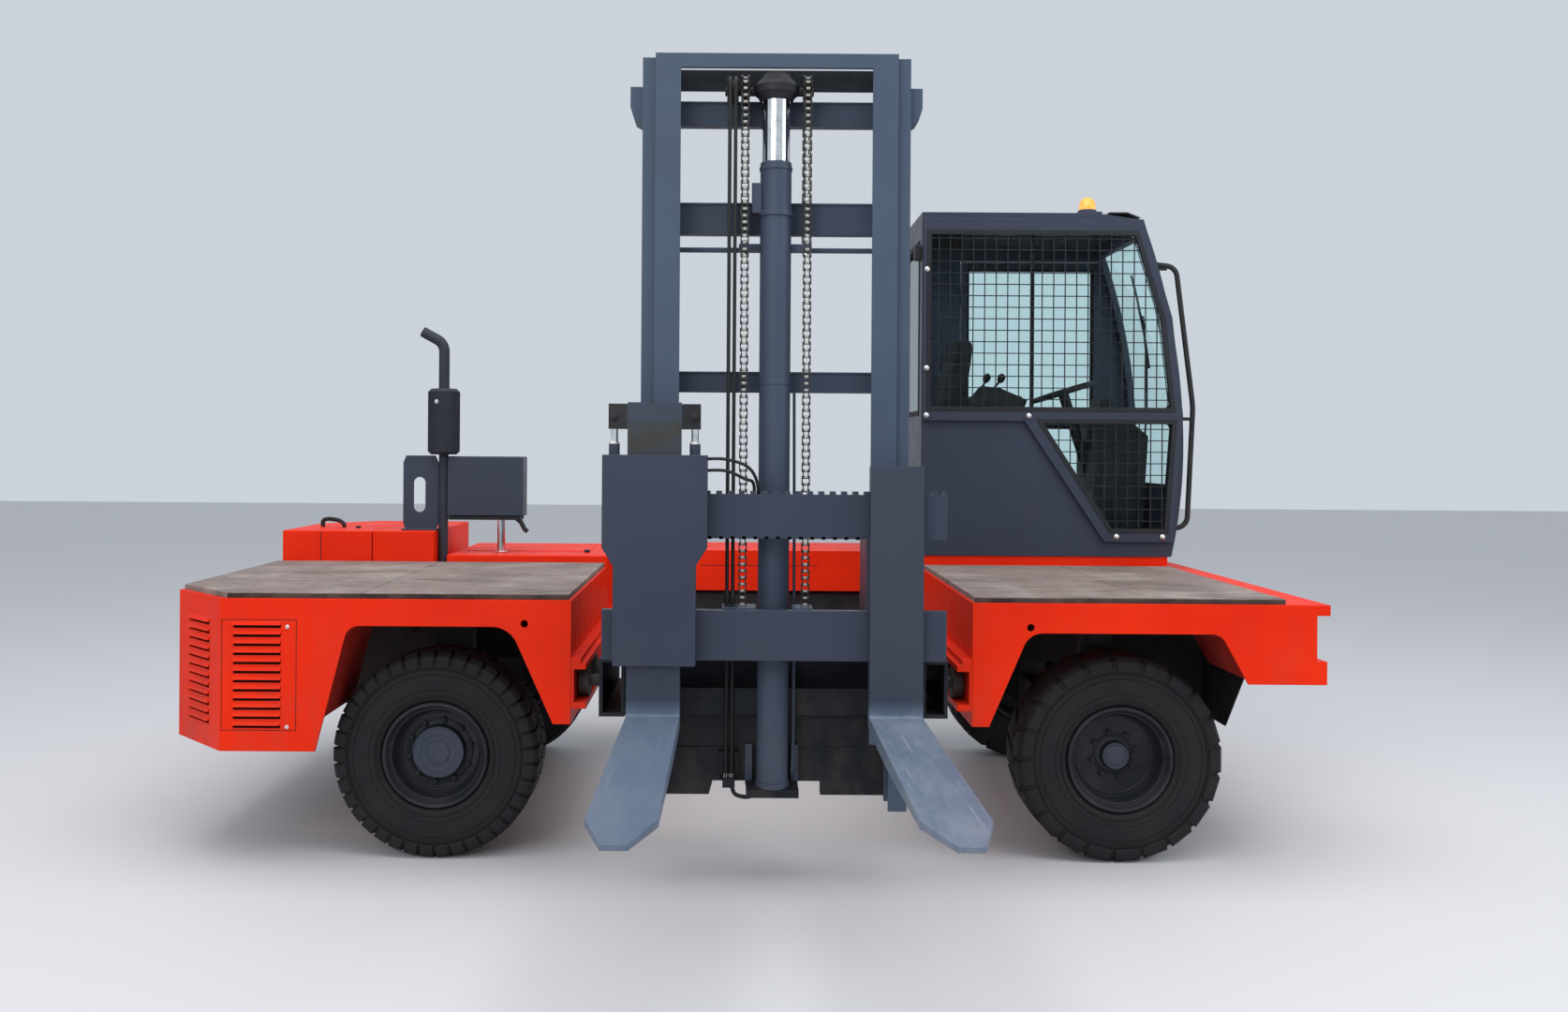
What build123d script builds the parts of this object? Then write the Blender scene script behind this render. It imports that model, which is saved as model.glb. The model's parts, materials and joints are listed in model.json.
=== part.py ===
from build123d import *
import os

os.makedirs("parts", exist_ok=True)

# A side loader forklift. +X is the travel direction, the loading side is at -Y, +Z is up.
# The origin is on the ground, at the centre of the whole box. All sizes are in millimetres.

# Driving sizes of the whole truck
LENGTH = 4672
BODY_WIDTH = 2250
DECK_Z = 1071
PLATE = 10
WELL_REAR = -665
WELL_FRONT = 922
WELL_DEPTH = 1690
SHELF = 1400
SKIRT_REAR_Z = 467
SKIRT_INNER_Z = 582
SKIRT_FRONT_Z = 756
FRONT_LIP = 52
CORNER_CUT = 284

# Fork reach, measured outwards from the loading side
SHANK_OUT = 388
FORK_LENGTH = 1480

NEAR = (SHANK_OUT + FORK_LENGTH - BODY_WIDTH) / 2
FAR = NEAR + BODY_WIDTH
REAR = -LENGTH / 2
FRONT = LENGTH / 2
MAST_X = (WELL_REAR + WELL_FRONT) / 2

# Running gear
WHEEL_R = 420
TYRE_WIDTH = 256
RIM_R = 200
RIM_WIDTH = 236
FLANGE_R = 216
REAR_AXLE_X = -1233
FRONT_AXLE_X = 1553
WHEEL_INSET = 258
SPINDLE_R = 35
PIN_GAP = 1
KING_PIN_IN = 190
KING_PIN_R = 18
BEAM_H = 140
LONGERON_IN = 480
LONGERON_W = 80
LONGERON_H = 168

# Clearances: face against face with a hair of air, and between moving pieces
SEAT_GAP = 0.3
RUN_GAP = 6

# Mast, measured from its own centre line and from the loading side
MAST_HALF = 510
MAST_BOTTOM = 300
OUTER_TOP = 2950
INNER_BOTTOM = 560
INNER_TOP = 3171
CHANNEL_W = 70
WEB = 18
OUTER_NEAR = -190
OUTER_FAR = -30
INNER_FLANGE_W = 96
INNER_NEAR = OUTER_NEAR - RUN_GAP - WEB - 1
CYLINDER_DEPTH = -140
TUBE_R = 56
TUBE_BORE = 46
ROD_R = 40
TUBE_BOTTOM = 380
TUBE_TOP = 2772
CHAIN_HALF = 119
CHAIN_W = 28
CHAIN_T = 14
SHEAVE_R = 45
SHEAVE_Z = 3045

# Cradle that carries the mast in the rails
CRADLE_HALF = 658
CRADLE_BEAM_W = 98
CRADLE_LOW = 663
CRADLE_HIGH = 880
CRADLE_FAR = 485
ROLLER_R = 62.5
ROLLER_W = 41
ROLLER_Z = 730
ROLLER_DEPTHS = (150, 420)
RAIL_FLANGE = 60
RAIL_T = 24
RAIL_WEB = 12

# Fork carriage
BAR_T = 40
BAR_BACK = -298
BAR_REAR_X = -510
BAR_FRONT_X = 762
UPPER_BAR_LOW = 1345
UPPER_BAR_HIGH = 1520
LOWER_BAR_LOW = 895
LOWER_BAR_HIGH = 1080
FORK_W = 196
FORK_T = 50
FORK_TOP_Z = 697
FORK_TIP_W = 70
FORK_TIP_L = 225
FORK_TIP_T = 14
RIGHT_FORK_X = 572
LEFT_FORK_X = -316
HOUSING_TOP = 1651

# Cab, measured inwards from the loading side
CAB_REAR_X = 919
CAB_BASE_Z = 1138
CAB_TOP_Z = 2874
CAB_WALL = 40
ROOF_T = 50


def block(x, y, z):
    """A box between the three pairs of limits."""
    centre = Pos((x[0] + x[1]) / 2, (y[0] + y[1]) / 2, (z[0] + z[1]) / 2)
    return centre * Box(x[1] - x[0], y[1] - y[0], z[1] - z[0])


def outline(points, radii=0):
    """A closed face through the points, its corners rounded by the radii."""
    return make_face(FilletPolyline(*points, radius=radii, close=True).edges())


def slab_y(face, y):
    """A face drawn in (x, z), as thick as the pair y."""
    return extrude(Plane.XZ.offset(-y[1]) * face, y[1] - y[0])


def slab_z(face, z):
    """A face drawn in (x, y), as thick as the pair z."""
    return extrude(Pos(0, 0, z[0]) * face, z[1] - z[0])


def slab_x(face, x):
    """A face drawn in (y, z), as thick as the pair x."""
    return extrude(Plane.YZ.offset(x[0]) * face, x[1] - x[0])


def rod_y(x, z, radius, y):
    """A round bar along Y."""
    return Pos(x, (y[0] + y[1]) / 2, z) * Rot(90, 0, 0) * Cylinder(radius, y[1] - y[0])


def rod_x(y, z, radius, x):
    """A round bar along X."""
    return Pos((x[0] + x[1]) / 2, y, z) * Rot(0, 90, 0) * Cylinder(radius, x[1] - x[0])


def rod_z(x, y, radius, z):
    """A round bar along Z."""
    return Pos(x, y, (z[0] + z[1]) / 2) * Cylinder(radius, z[1] - z[0])


def tube_run(stops, radius, y):
    """A round bar in the plane at y, through stops of (x, z, bend radius)."""
    corners = [(x, z) for x, z, _ in stops]
    line = FilletPolyline(*corners, radius=[bend for _, _, bend in stops[1:-1]])
    shape = None
    for edge in line.edges():
        path = Pos(0, y, 0) * (Plane.XZ * edge)
        face = Plane(origin=path @ 0, z_dir=path % 0) * Circle(radius)
        if edge.geom_type == GeomType.LINE:
            piece = extrude(face, path.length)
        else:
            axis = Axis(Vector(edge.arc_center.X, y, edge.arc_center.Y), (0, 1, 0))
            turn = (path % 0).get_signed_angle(path % 1, Vector(0, 1, 0))
            piece = revolve(face, axis if turn > 0 else Axis(axis.position, (0, -1, 0)), abs(turn))
        shape = piece if shape is None else shape + piece
    return shape


def save(shapes, name):
    """Write the solids of one sub-part."""
    solids = [Solid(solid.wrapped) for shape in shapes for solid in shape.solids()]
    export_step(Compound(children=solids), f"parts/{name}.step")


# Pods: plate shells, open below, with a wheel arch through both sides

REAR_ARCH = [(-1675, SKIRT_REAR_Z), (-1549, 965), (-909, 965), (-735, SKIRT_INNER_Z)]
REAR_ARCH_RADII = [0, 60, 110, 0]
FRONT_ARCH = [(989, SKIRT_INNER_Z), (1147, 953), (1905, 953), (2014, SKIRT_FRONT_Z)]
FRONT_ARCH_RADII = [0, 80, 60, 0]


def pod(plan, low_z):
    """A shell on a plan outline, with a top plate and walls, open at the bottom."""
    body = slab_z(plan, (low_z, DECK_Z))
    hollow = offset(plan, -PLATE, kind=Kind.INTERSECTION)
    return body - slab_z(hollow, (low_z - PLATE, DECK_Z - PLATE))


def arch_face(points, radii):
    """The arch's outline, carried straight down to the ground at both feet."""
    feet = [(points[0][0], 0)] + points + [(points[-1][0], 0)]
    return outline(feet, [0] + radii + [0])


def arch_cut(points, radii):
    """The wheel arch, as a cut through both sides."""
    return slab_y(arch_face(points, radii), (NEAR - PLATE, FAR + PLATE))


def arch_liner(points, radii, y):
    """The sheet that lines an arch, from the side plate inwards."""
    arch = arch_face(points, radii)
    low = max(points[0][1], points[-1][1])
    sheet = slab_y(offset(arch, 6, kind=Kind.INTERSECTION) - arch, y)
    return sheet - block((REAR, FRONT), (y[0] - 1, y[1] + 1), (-50, low + 20))


REAR_PLAN = outline([
    (REAR, NEAR + CORNER_CUT), (REAR + CORNER_CUT, NEAR), (WELL_REAR, NEAR),
    (WELL_REAR, FAR), (REAR + CORNER_CUT, FAR), (REAR, FAR - CORNER_CUT),
])
FRONT_PLAN = outline([
    (WELL_FRONT, NEAR), (FRONT - FRONT_LIP, NEAR), (FRONT - FRONT_LIP, FAR), (WELL_FRONT, FAR),
])
LOUVRES = 12
LOUVRE_PITCH = 36
LOUVRE_H = 16
LOUVRE_LOW = 558
LOUVRE_X = (-2000, -1812)
CORNER_LOUVRE_W = 200
HOLE_R = 15
# Lashing holes through the side plates: x, z
HOLES = [(-850, 977), (1152, 975)]


def rear_pod():
    """The pod over the drive axle, with louvres in its side and corner plates."""
    shell = pod(REAR_PLAN, SKIRT_REAR_Z)
    shell -= arch_cut(REAR_ARCH, REAR_ARCH_RADII)
    shell -= block((-735, WELL_REAR + 1), (NEAR - 1, FAR + 1), (0, SKIRT_INNER_Z))
    corner = (REAR + CORNER_CUT / 2, NEAR + CORNER_CUT / 2)
    for row in range(LOUVRES):
        z = LOUVRE_LOW + row * LOUVRE_PITCH
        shell -= block(LOUVRE_X, (NEAR - 1, NEAR + PLATE + 1), (z, z + LOUVRE_H))
        slot = Rot(0, 0, -45) * Box(CORNER_LOUVRE_W, 4 * PLATE, LOUVRE_H)
        shell -= Pos(*corner, z + LOUVRE_H / 2) * slot
    shell -= rod_y(*HOLES[0], HOLE_R, (NEAR - 1, NEAR + PLATE + 1))
    return shell


def front_pod():
    """The pod under the cab, with its end lips."""
    shell = pod(FRONT_PLAN, SKIRT_INNER_Z)
    shell -= arch_cut(FRONT_ARCH, FRONT_ARCH_RADII)
    shell -= block((2014, FRONT + 1), (NEAR - 1, FAR + 1), (0, SKIRT_FRONT_Z))
    end = FRONT - FRONT_LIP
    shell += block((end, FRONT), (NEAR, FAR), (DECK_Z - 42, DECK_Z))
    shell += block((end, FRONT - 12), (NEAR, FAR), (SKIRT_FRONT_Z, SKIRT_FRONT_Z + 92))
    shell -= rod_y(*HOLES[1], HOLE_R, (NEAR - 1, NEAR + PLATE + 1))
    return shell


def wheel_liners():
    """Arch sheets behind all four side plates."""
    depth = 400
    near_y = (NEAR + PLATE, NEAR + depth)
    far_y = (FAR - depth, FAR - PLATE)
    shape = arch_liner(REAR_ARCH, REAR_ARCH_RADII, near_y)
    shape += arch_liner(REAR_ARCH, REAR_ARCH_RADII, far_y)
    shape += arch_liner(FRONT_ARCH, FRONT_ARCH_RADII, near_y)
    shape += arch_liner(FRONT_ARCH, FRONT_ARCH_RADII, far_y)
    return shape


BOARD_T = 21
BOARD_SEAM = 4


def deck_boards(x, seams):
    """Plywood boards laid on a steel deck, with open seams between them."""
    edge = 18
    y = (NEAR + edge, NEAR + SHELF - edge)
    shape = block(x, y, (DECK_Z, DECK_Z + BOARD_T))
    for seam in seams:
        shape -= block((seam - BOARD_SEAM / 2, seam + BOARD_SEAM / 2), (y[0] - 1, y[1] + 1),
                       (DECK_Z - 1, DECK_Z + BOARD_T + 1))
    return shape


def rear_boards():
    """Rear load deck: its boards follow the cut corner."""
    shape = deck_boards((REAR + 16, WELL_REAR - 12), (-1500,))
    corner = outline([(REAR - 1, NEAR - 1), (REAR + CORNER_CUT + 30, NEAR - 1),
                      (REAR - 1, NEAR + CORNER_CUT + 30)])
    return shape - slab_z(corner, (DECK_Z - 1, DECK_Z + BOARD_T + 1))


def front_boards():
    """Front load deck."""
    return deck_boards((WELL_FRONT + 12, FRONT - FRONT_LIP - 120), (1620,))


BEAM_LOW = 921
BEAM_TOP = 1133
TANK_LOW = 480


def main_beam():
    """Box beam behind the well, joined to both pods, with side pieces at the well's end."""
    y0 = NEAR + WELL_DEPTH
    shape = block((WELL_REAR, WELL_FRONT), (y0, FAR), (BEAM_LOW, BEAM_TOP))
    shape -= block((WELL_REAR - 1, WELL_FRONT + 1), (y0 + 12, FAR - 12), (BEAM_LOW + 12, BEAM_TOP - 12))
    side = 42
    shape += block((WELL_REAR, WELL_REAR + side), (y0, y0 + 12), (794, BEAM_LOW))
    shape += block((WELL_FRONT - side, WELL_FRONT), (y0, y0 + 12), (794, BEAM_LOW))
    return shape


def chassis_frame():
    """Two longerons under each deck, which carry the axles and the engine."""
    z = (DECK_Z - PLATE - LONGERON_H, DECK_Z - PLATE)
    shape = None
    for inner in (NEAR + LONGERON_IN, FAR - LONGERON_IN - LONGERON_W):
        y = (inner, inner + LONGERON_W)
        for x in ((REAR + PLATE, WELL_REAR - PLATE), (WELL_FRONT + PLATE, FRONT - FRONT_LIP - PLATE)):
            beam = block(x, y, z)
            beam -= block((x[0] - 1, x[1] + 1), (y[0] + 10, y[1] + 1), (z[0] + 10, z[1] - 10))
            shape = beam if shape is None else shape + beam
    return shape


def mast_rails():
    """Two channels along the well, open towards each other."""
    low = ROLLER_Z - ROLLER_R - SEAT_GAP
    high = ROLLER_Z + ROLLER_R + RUN_GAP
    y = (NEAR + 2, NEAR + WELL_DEPTH)
    shape = None
    for wall, way in ((WELL_REAR, 1), (WELL_FRONT, -1)):
        def span(a, b):
            return tuple(sorted((wall + way * a, wall + way * b)))
        rail = block(span(0, RAIL_WEB), y, (low - RAIL_T, high + RAIL_T))
        rail += block(span(0, RAIL_FLANGE), y, (low - RAIL_T, low))
        rail += block(span(0, RAIL_FLANGE), y, (high, high + RAIL_T))
        rail += block(span(0, RAIL_FLANGE - 20), y, (high + RAIL_T, high + RAIL_T + 22))
        shape = rail if shape is None else shape + rail
    return shape


def tank():
    """Oil tank hung under the far beam."""
    shape = block((-500, 760), (NEAR + WELL_DEPTH + 40, FAR - 20), (TANK_LOW, BEAM_LOW))
    return fillet(shape.edges().filter_by(Axis.X), 40)


def engine_block():
    """The engine, closed in between the wheels, as one plain block on two bearers."""
    z = DECK_Z - PLATE - LONGERON_H
    y = (NEAR + LONGERON_IN + LONGERON_W, FAR - LONGERON_IN - LONGERON_W)
    shape = block((-2150, -1450), (NEAR + 780, NEAR + 1330), (500, 1040))
    for x in (-2080, -1560):
        shape += block((x, x + 80), y, (z - 70, z + 10))
    return shape


def rear_axle():
    """Drive axle: tube, gear case and two pedestals up to the longerons."""
    out = WHEEL_INSET + TYRE_WIDTH / 2 + 25
    middle = (NEAR + FAR) / 2
    shape = rod_y(REAR_AXLE_X, WHEEL_R, 62, (NEAR + out, FAR - out))
    case = rod_y(REAR_AXLE_X, WHEEL_R, 165, (middle - 130, middle + 130))
    shape += chamfer(case.edges().filter_by(GeomType.CIRCLE), 70)
    for y0 in (NEAR + LONGERON_IN, FAR - LONGERON_IN - LONGERON_W):
        shape += block((REAR_AXLE_X - 80, REAR_AXLE_X + 80), (y0, y0 + LONGERON_W),
                       (WHEEL_R, DECK_Z - PLATE - LONGERON_H))
    spindle = SPINDLE_R
    shape += rod_y(REAR_AXLE_X, WHEEL_R, spindle, (NEAR + WHEEL_INSET - 30, FAR - WHEEL_INSET + 30))
    return shape


def front_axle():
    """Steered axle: box beam with a king pin boss at each end, on two pedestals."""
    pins = (NEAR + WHEEL_INSET + KING_PIN_IN, FAR - WHEEL_INSET - KING_PIN_IN)
    z = (WHEEL_R - BEAM_H / 2, WHEEL_R + BEAM_H / 2)
    shape = block((FRONT_AXLE_X - 60, FRONT_AXLE_X + 60), (pins[0] + 75, pins[1] - 75), z)
    for y, way in ((pins[0], 1), (pins[1], -1)):
        shape += rod_z(FRONT_AXLE_X, y, 45, z)
        neck = sorted((y, y + way * 80))
        shape += block((FRONT_AXLE_X - 40, FRONT_AXLE_X + 40), neck, z)
        shape -= rod_z(FRONT_AXLE_X, y, KING_PIN_R + PIN_GAP, (z[0] - 1, z[1] + 1))
        stand = sorted((y + way * 82, y + way * 142))
        shape += block((FRONT_AXLE_X - 60, FRONT_AXLE_X + 60), stand,
                       (z[1], DECK_Z - PLATE - LONGERON_H))
        saddle = sorted((y + way * 32, y + way * 142))
        shape += block((FRONT_AXLE_X - 60, FRONT_AXLE_X + 60), saddle,
                       (DECK_Z - PLATE - LONGERON_H - 60, DECK_Z - PLATE - LONGERON_H))
    return shape


def knuckle(side):
    """Steering knuckle: two ears on a king pin, a web and the wheel's spindle."""
    low = WHEEL_R - BEAM_H / 2 - 5
    high = WHEEL_R + BEAM_H / 2 + 5
    ear = 40
    web_in = 52
    web_out = 72
    plan = outline([(-45, -web_out), (45, -web_out), (45, 10), (25, 40), (-25, 40), (-45, 10)])
    shape = slab_z(plan, (low - ear, low)) + slab_z(plan, (high, high + ear))
    shape += block((-60, 60), (-web_out, -web_in), (low - ear, high + ear))
    shape += rod_z(0, 0, KING_PIN_R, (low - ear, high + ear))
    shape += rod_y(0, WHEEL_R, SPINDLE_R, (-KING_PIN_IN - 30, -web_in))
    if side == "near":
        return Pos(FRONT_AXLE_X, NEAR + WHEEL_INSET + KING_PIN_IN, 0) * shape
    turned = Rot(0, 0, 180) * shape
    return Pos(FRONT_AXLE_X, FAR - WHEEL_INSET - KING_PIN_IN, 0) * turned


HUB_IN = -60
FLANGE_T = 12


def rim(hub_r, hub_out, dish):
    """Wheel: barrel with two flanges, a dished disc and a capped hub. +Y is outboard."""
    half = RIM_WIDTH / 2
    barrel = RIM_R - 14
    bore = SPINDLE_R + PIN_GAP
    profile = outline([
        (bore, HUB_IN), (hub_r, HUB_IN), (barrel, -half), (RIM_R, -half),
        (RIM_R, half - FLANGE_T), (FLANGE_R, half - FLANGE_T), (FLANGE_R, half),
        (barrel, half), (hub_r, dish), (hub_r, hub_out),
        (0, hub_out), (0, hub_out - 15), (bore, hub_out - 15),
    ])
    return revolve(profile, Axis.Y)


def tyre(lugs):
    """Solid tyre; the steered ones have notched shoulders."""
    seat = RIM_WIDTH / 2 - FLANGE_T - SEAT_GAP
    half = TYRE_WIDTH / 2
    crown = half - 28
    profile = outline([
        (RIM_R + SEAT_GAP, -seat), (FLANGE_R + 2, -seat), (WHEEL_R - 60, -half),
        (WHEEL_R, -crown), (WHEEL_R, crown), (WHEEL_R - 60, half),
        (FLANGE_R + 2, seat), (RIM_R + SEAT_GAP, seat),
    ])
    shape = revolve(profile, Axis.Y)
    notch = Box(34, 46, 40)
    for index in range(lugs):
        for side, shift in ((1, 0), (-1, 0.5)):
            turn = 360 / lugs * (index + shift)
            place = Rot(0, turn, 0) * Pos(WHEEL_R, side * (half - 10), 0)
            shape -= place * notch
    return shape


# Wheels: name, axle x, side, hub radius, hub reach, dish, lugs
WHEELS = [
    ("rear_near", REAR_AXLE_X, "near", 105, 60, 30, 0),
    ("rear_far", REAR_AXLE_X, "far", 105, 60, 30, 0),
    ("front_near", FRONT_AXLE_X, "near", 54, 50, 20, 21),
    ("front_far", FRONT_AXLE_X, "far", 54, 50, 20, 21),
]


def place_wheel(shape, x, side):
    """Set a wheel on its axle end, its outer face outboard."""
    if side == "near":
        return Pos(x, NEAR + WHEEL_INSET, WHEEL_R) * Rot(0, 0, 180) * shape
    return Pos(x, FAR - WHEEL_INSET, WHEEL_R) * shape


# Rear superstructure: hoods, exhaust and grey box

HOOD_REAR_X = -2306
HOOD_SPLIT_X = -1857
HOOD_FRONT_X = -1543
HOOD_TOP = 1243
LOW_HOOD = (-1476, -651 - 14)
LOW_HOOD_TOP = 1160
PIPE_R = 24
PIPE_X = HOOD_FRONT_X + PIPE_R + 1
PIPE_Y = NEAR + 1500
SILENCER = (1631, 1968)
SILENCER_R = 78
PIPE_TOP = 2200
TAIL_R = 27
TAIL = [(PIPE_X, SILENCER[1] - 5, 0), (PIPE_X, PIPE_TOP, 70), (PIPE_X - 110, PIPE_TOP + 60, 0)]


def tub(plan, z, wall):
    """A cover: a closed top with walls down to the deck."""
    inner = offset(plan, -wall, kind=Kind.INTERSECTION)
    return slab_z(plan, z) - slab_z(inner, (z[0] - 1, z[1] - wall))


def engine_hood():
    """Hinged lid over the rear corner, with a pull handle on its top."""
    y0 = NEAR + SHELF
    edge = 12
    plan = outline([
        (HOOD_REAR_X, y0), (HOOD_SPLIT_X, y0), (HOOD_SPLIT_X, FAR - edge),
        (REAR + CORNER_CUT + 6, FAR - edge), (HOOD_REAR_X, FAR - CORNER_CUT + 12),
    ])
    lid = tub(plan, (DECK_Z + SEAT_GAP, HOOD_TOP), PLATE)
    grip_y = y0 + 300
    grip = block((-2150, -2050), (grip_y - 8, grip_y + 8), (HOOD_TOP, HOOD_TOP + 54))
    grip -= block((-2134, -2066), (grip_y - 9, grip_y + 9), (HOOD_TOP, HOOD_TOP + 40))
    return lid + grip


def fixed_hood():
    """The fixed part of the rear cover, below the exhaust."""
    plan = outline([
        (HOOD_SPLIT_X + RUN_GAP, NEAR + SHELF), (HOOD_FRONT_X, NEAR + SHELF),
        (HOOD_FRONT_X, FAR - 12), (HOOD_SPLIT_X + RUN_GAP, FAR - 12),
    ])
    return tub(plan, (DECK_Z, HOOD_TOP), PLATE)


def low_hood():
    """The long low cover beside the well."""
    plan = outline([
        (LOW_HOOD[0], NEAR + SHELF), (LOW_HOOD[1], NEAR + SHELF),
        (LOW_HOOD[1], FAR - 12), (LOW_HOOD[0], FAR - 12),
    ])
    return tub(plan, (DECK_Z, LOW_HOOD_TOP), PLATE)


def exhaust():
    """Upright pipe, round silencer and a tail that bends rearwards."""
    shape = rod_z(PIPE_X, PIPE_Y, PIPE_R, (DECK_Z, SILENCER[0]))
    can = rod_z(PIPE_X, PIPE_Y, SILENCER_R, SILENCER)
    shape += chamfer(can.edges().filter_by(GeomType.CIRCLE), 14)
    return shape + tube_run(TAIL, TAIL_R, PIPE_Y)


def exhaust_bracket():
    """Slotted plate that stands on the fixed cover beside the exhaust pipe."""
    y = (PIPE_Y - 4, PIPE_Y + 4)
    x = (-1724, PIPE_X - PIPE_R - SEAT_GAP)
    shape = block(x, y, (HOOD_TOP, 1625))
    slot = outline([(-1670, 1335), (-1610, 1335), (-1610, 1515), (-1670, 1515)], 28)
    shape -= slab_y(slot, (y[0] - 1, y[1] + 1))
    shape += block(x, (PIPE_Y - 40, PIPE_Y + 40), (HOOD_TOP, HOOD_TOP + 8))
    return shape


BOX_X = (PIPE_X + PIPE_R + SEAT_GAP, -1103)
BOX_Z = (1319, 1622)


def grey_box():
    """Closed locker on a post, beside the exhaust pipe."""
    shape = block(BOX_X, (NEAR + 1480, NEAR + 1800), BOX_Z)
    return chamfer(shape.edges().filter_by(Axis.Y), 10)


def box_posts():
    """Chrome post below the locker."""
    return rod_z(-1230, NEAR + 1560, 21, (LOW_HOOD_TOP, BOX_Z[0])) + rod_z(
        -1230, NEAR + 1720, 21, (LOW_HOOD_TOP, BOX_Z[0]))


# Cab

CAB_NEAR = NEAR + SHELF
CAB_FAR = FAR - 20
DOOR_X = (1250, 2050)
DOOR_Z = (CAB_BASE_Z + CAB_WALL, 2740)
DOOR_GAP = 6
HINGES_Z = (1400, 2500)
HINGE_L = 90
HINGE_R = 8
HINGE_T = 6
HINGE_PIN_R = 4
HINGE_X = DOOR_X[0] + DOOR_GAP - 3
HINGE_Y = CAB_FAR + 9
GLASS_T = 6
UPPER_WINDOW = [(956, 1885), (956, 2765), (1994, 2765), (2127, 2340), (2180, 1885)]
LOWER_WINDOW = [(1522, 1814), (2188, 1814), (2150, 1274), (1876, 1274)]
REAR_WINDOW_Z = (1850, 2740)
FRONT_WINDOW_Z = (1500, 2760)
PILLAR = 90


def cab_outline():
    """The cab from the side: upright back, flat roof and a bowed front."""
    top_front = (2009, CAB_TOP_Z - 30)
    edges = [
        Line((CAB_REAR_X, CAB_BASE_Z), (CAB_REAR_X, CAB_TOP_Z)),
        Line((CAB_REAR_X, CAB_TOP_Z), (1800, CAB_TOP_Z)),
        Line((1800, CAB_TOP_Z), top_front),
        Line(top_front, (2042, 2821)),
        ThreePointArc((2042, 2821), (2186, 2300), (2244, 1775)),
        ThreePointArc((2244, 1775), (2236, 1460), (2188, CAB_BASE_Z)),
        Line((2188, CAB_BASE_Z), (CAB_REAR_X, CAB_BASE_Z)),
    ]
    return make_face(Wire([e.edge() for e in edges]))


CAB_FACE = cab_outline()
ROOF_Z = CAB_TOP_Z - ROOF_T


def cab_inset(wall):
    """The cab's outline, moved inwards by a wall."""
    width = 2300 - CAB_REAR_X
    height = CAB_TOP_Z - CAB_BASE_Z - 2 * wall
    centre = Pos(CAB_REAR_X + wall + width / 2, (CAB_TOP_Z + CAB_BASE_Z) / 2)
    return (Pos(-wall, 0) * CAB_FACE) & (centre * Rectangle(width, height))


def cab_shell():
    """Walls and floor of the cab, with window and door openings."""
    inner = cab_inset(CAB_WALL)
    body = slab_y(CAB_FACE, (CAB_NEAR, CAB_FAR))
    body -= slab_y(inner, (CAB_NEAR + CAB_WALL, CAB_FAR - CAB_WALL))
    body -= block((CAB_REAR_X - 1, 2300), (CAB_NEAR - 1, CAB_FAR + 1), (ROOF_Z, CAB_TOP_Z + 1))
    near_wall = (CAB_NEAR - 1, CAB_NEAR + CAB_WALL + 1)
    body -= slab_y(outline(UPPER_WINDOW, 30), near_wall)
    body -= slab_y(outline(LOWER_WINDOW, 30), near_wall)
    side = (CAB_NEAR + PILLAR, CAB_FAR - PILLAR)
    body -= block((CAB_REAR_X - 1, CAB_REAR_X + CAB_WALL + 1), side, REAR_WINDOW_Z)
    body -= block((2060, 2300), side, (FRONT_WINDOW_Z[0], 2500))
    body -= block((1960, 2300), side, (2400, FRONT_WINDOW_Z[1]))
    body -= block(DOOR_X, (CAB_FAR - CAB_WALL - 1, CAB_FAR + 1), DOOR_Z)
    for z0 in HINGES_Z:
        half = (z0 + HINGE_L / 2 + SEAT_GAP, z0 + HINGE_L)
        body += block((HINGE_X - 55, HINGE_X), (CAB_FAR, CAB_FAR + HINGE_T), half)
        body += rod_z(HINGE_X, HINGE_Y, HINGE_R, half)
        body += rod_z(HINGE_X, HINGE_Y, HINGE_PIN_R, (z0, z0 + HINGE_L))
    return body


def cab_plinth():
    """Painted base strip between the deck and the cab."""
    shape = block((CAB_REAR_X + 10, 2170), (CAB_NEAR + 6, CAB_FAR), (DECK_Z, CAB_BASE_Z))
    shape -= block((CAB_REAR_X + 30, 2150), (CAB_NEAR + 26, CAB_FAR - 20), (DECK_Z - 1, CAB_BASE_Z + 1))
    return shape


def cab_roof():
    """Roof slab with a small plate for the beacon."""
    roof = slab_y(CAB_FACE, (CAB_NEAR, CAB_FAR))
    roof &= block((CAB_REAR_X - 1, 2300), (CAB_NEAR - 1, CAB_FAR + 1), (ROOF_Z, CAB_TOP_Z + 1))
    return roof


def cab_glass():
    """Near, rear and front panes, in the middle of their walls."""
    y = (CAB_NEAR + 17, CAB_NEAR + 17 + GLASS_T)
    shape = None
    for points in (UPPER_WINDOW, LOWER_WINDOW):
        face = offset(outline(points, 30), -SEAT_GAP, kind=Kind.INTERSECTION)
        pane = slab_y(face, y)
        shape = pane if shape is None else shape + pane
    side = (CAB_NEAR + PILLAR + SEAT_GAP, CAB_FAR - PILLAR - SEAT_GAP)
    rear_x = (CAB_REAR_X + 17, CAB_REAR_X + 17 + GLASS_T)
    rear_z = (REAR_WINDOW_Z[0] + SEAT_GAP, REAR_WINDOW_Z[1] - SEAT_GAP)
    shape += block(rear_x, side, rear_z)
    skin = cab_inset(17) - cab_inset(17 + GLASS_T)
    front_z = (FRONT_WINDOW_Z[0] + SEAT_GAP, FRONT_WINDOW_Z[1] - SEAT_GAP)
    shape += slab_y(skin, side) & block((1961, 2300), (CAB_NEAR, CAB_FAR), front_z)
    return shape


GRILLE_PITCH = 58
GRILLE_BAR = 5
GRILLE_FRAME = 22


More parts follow.
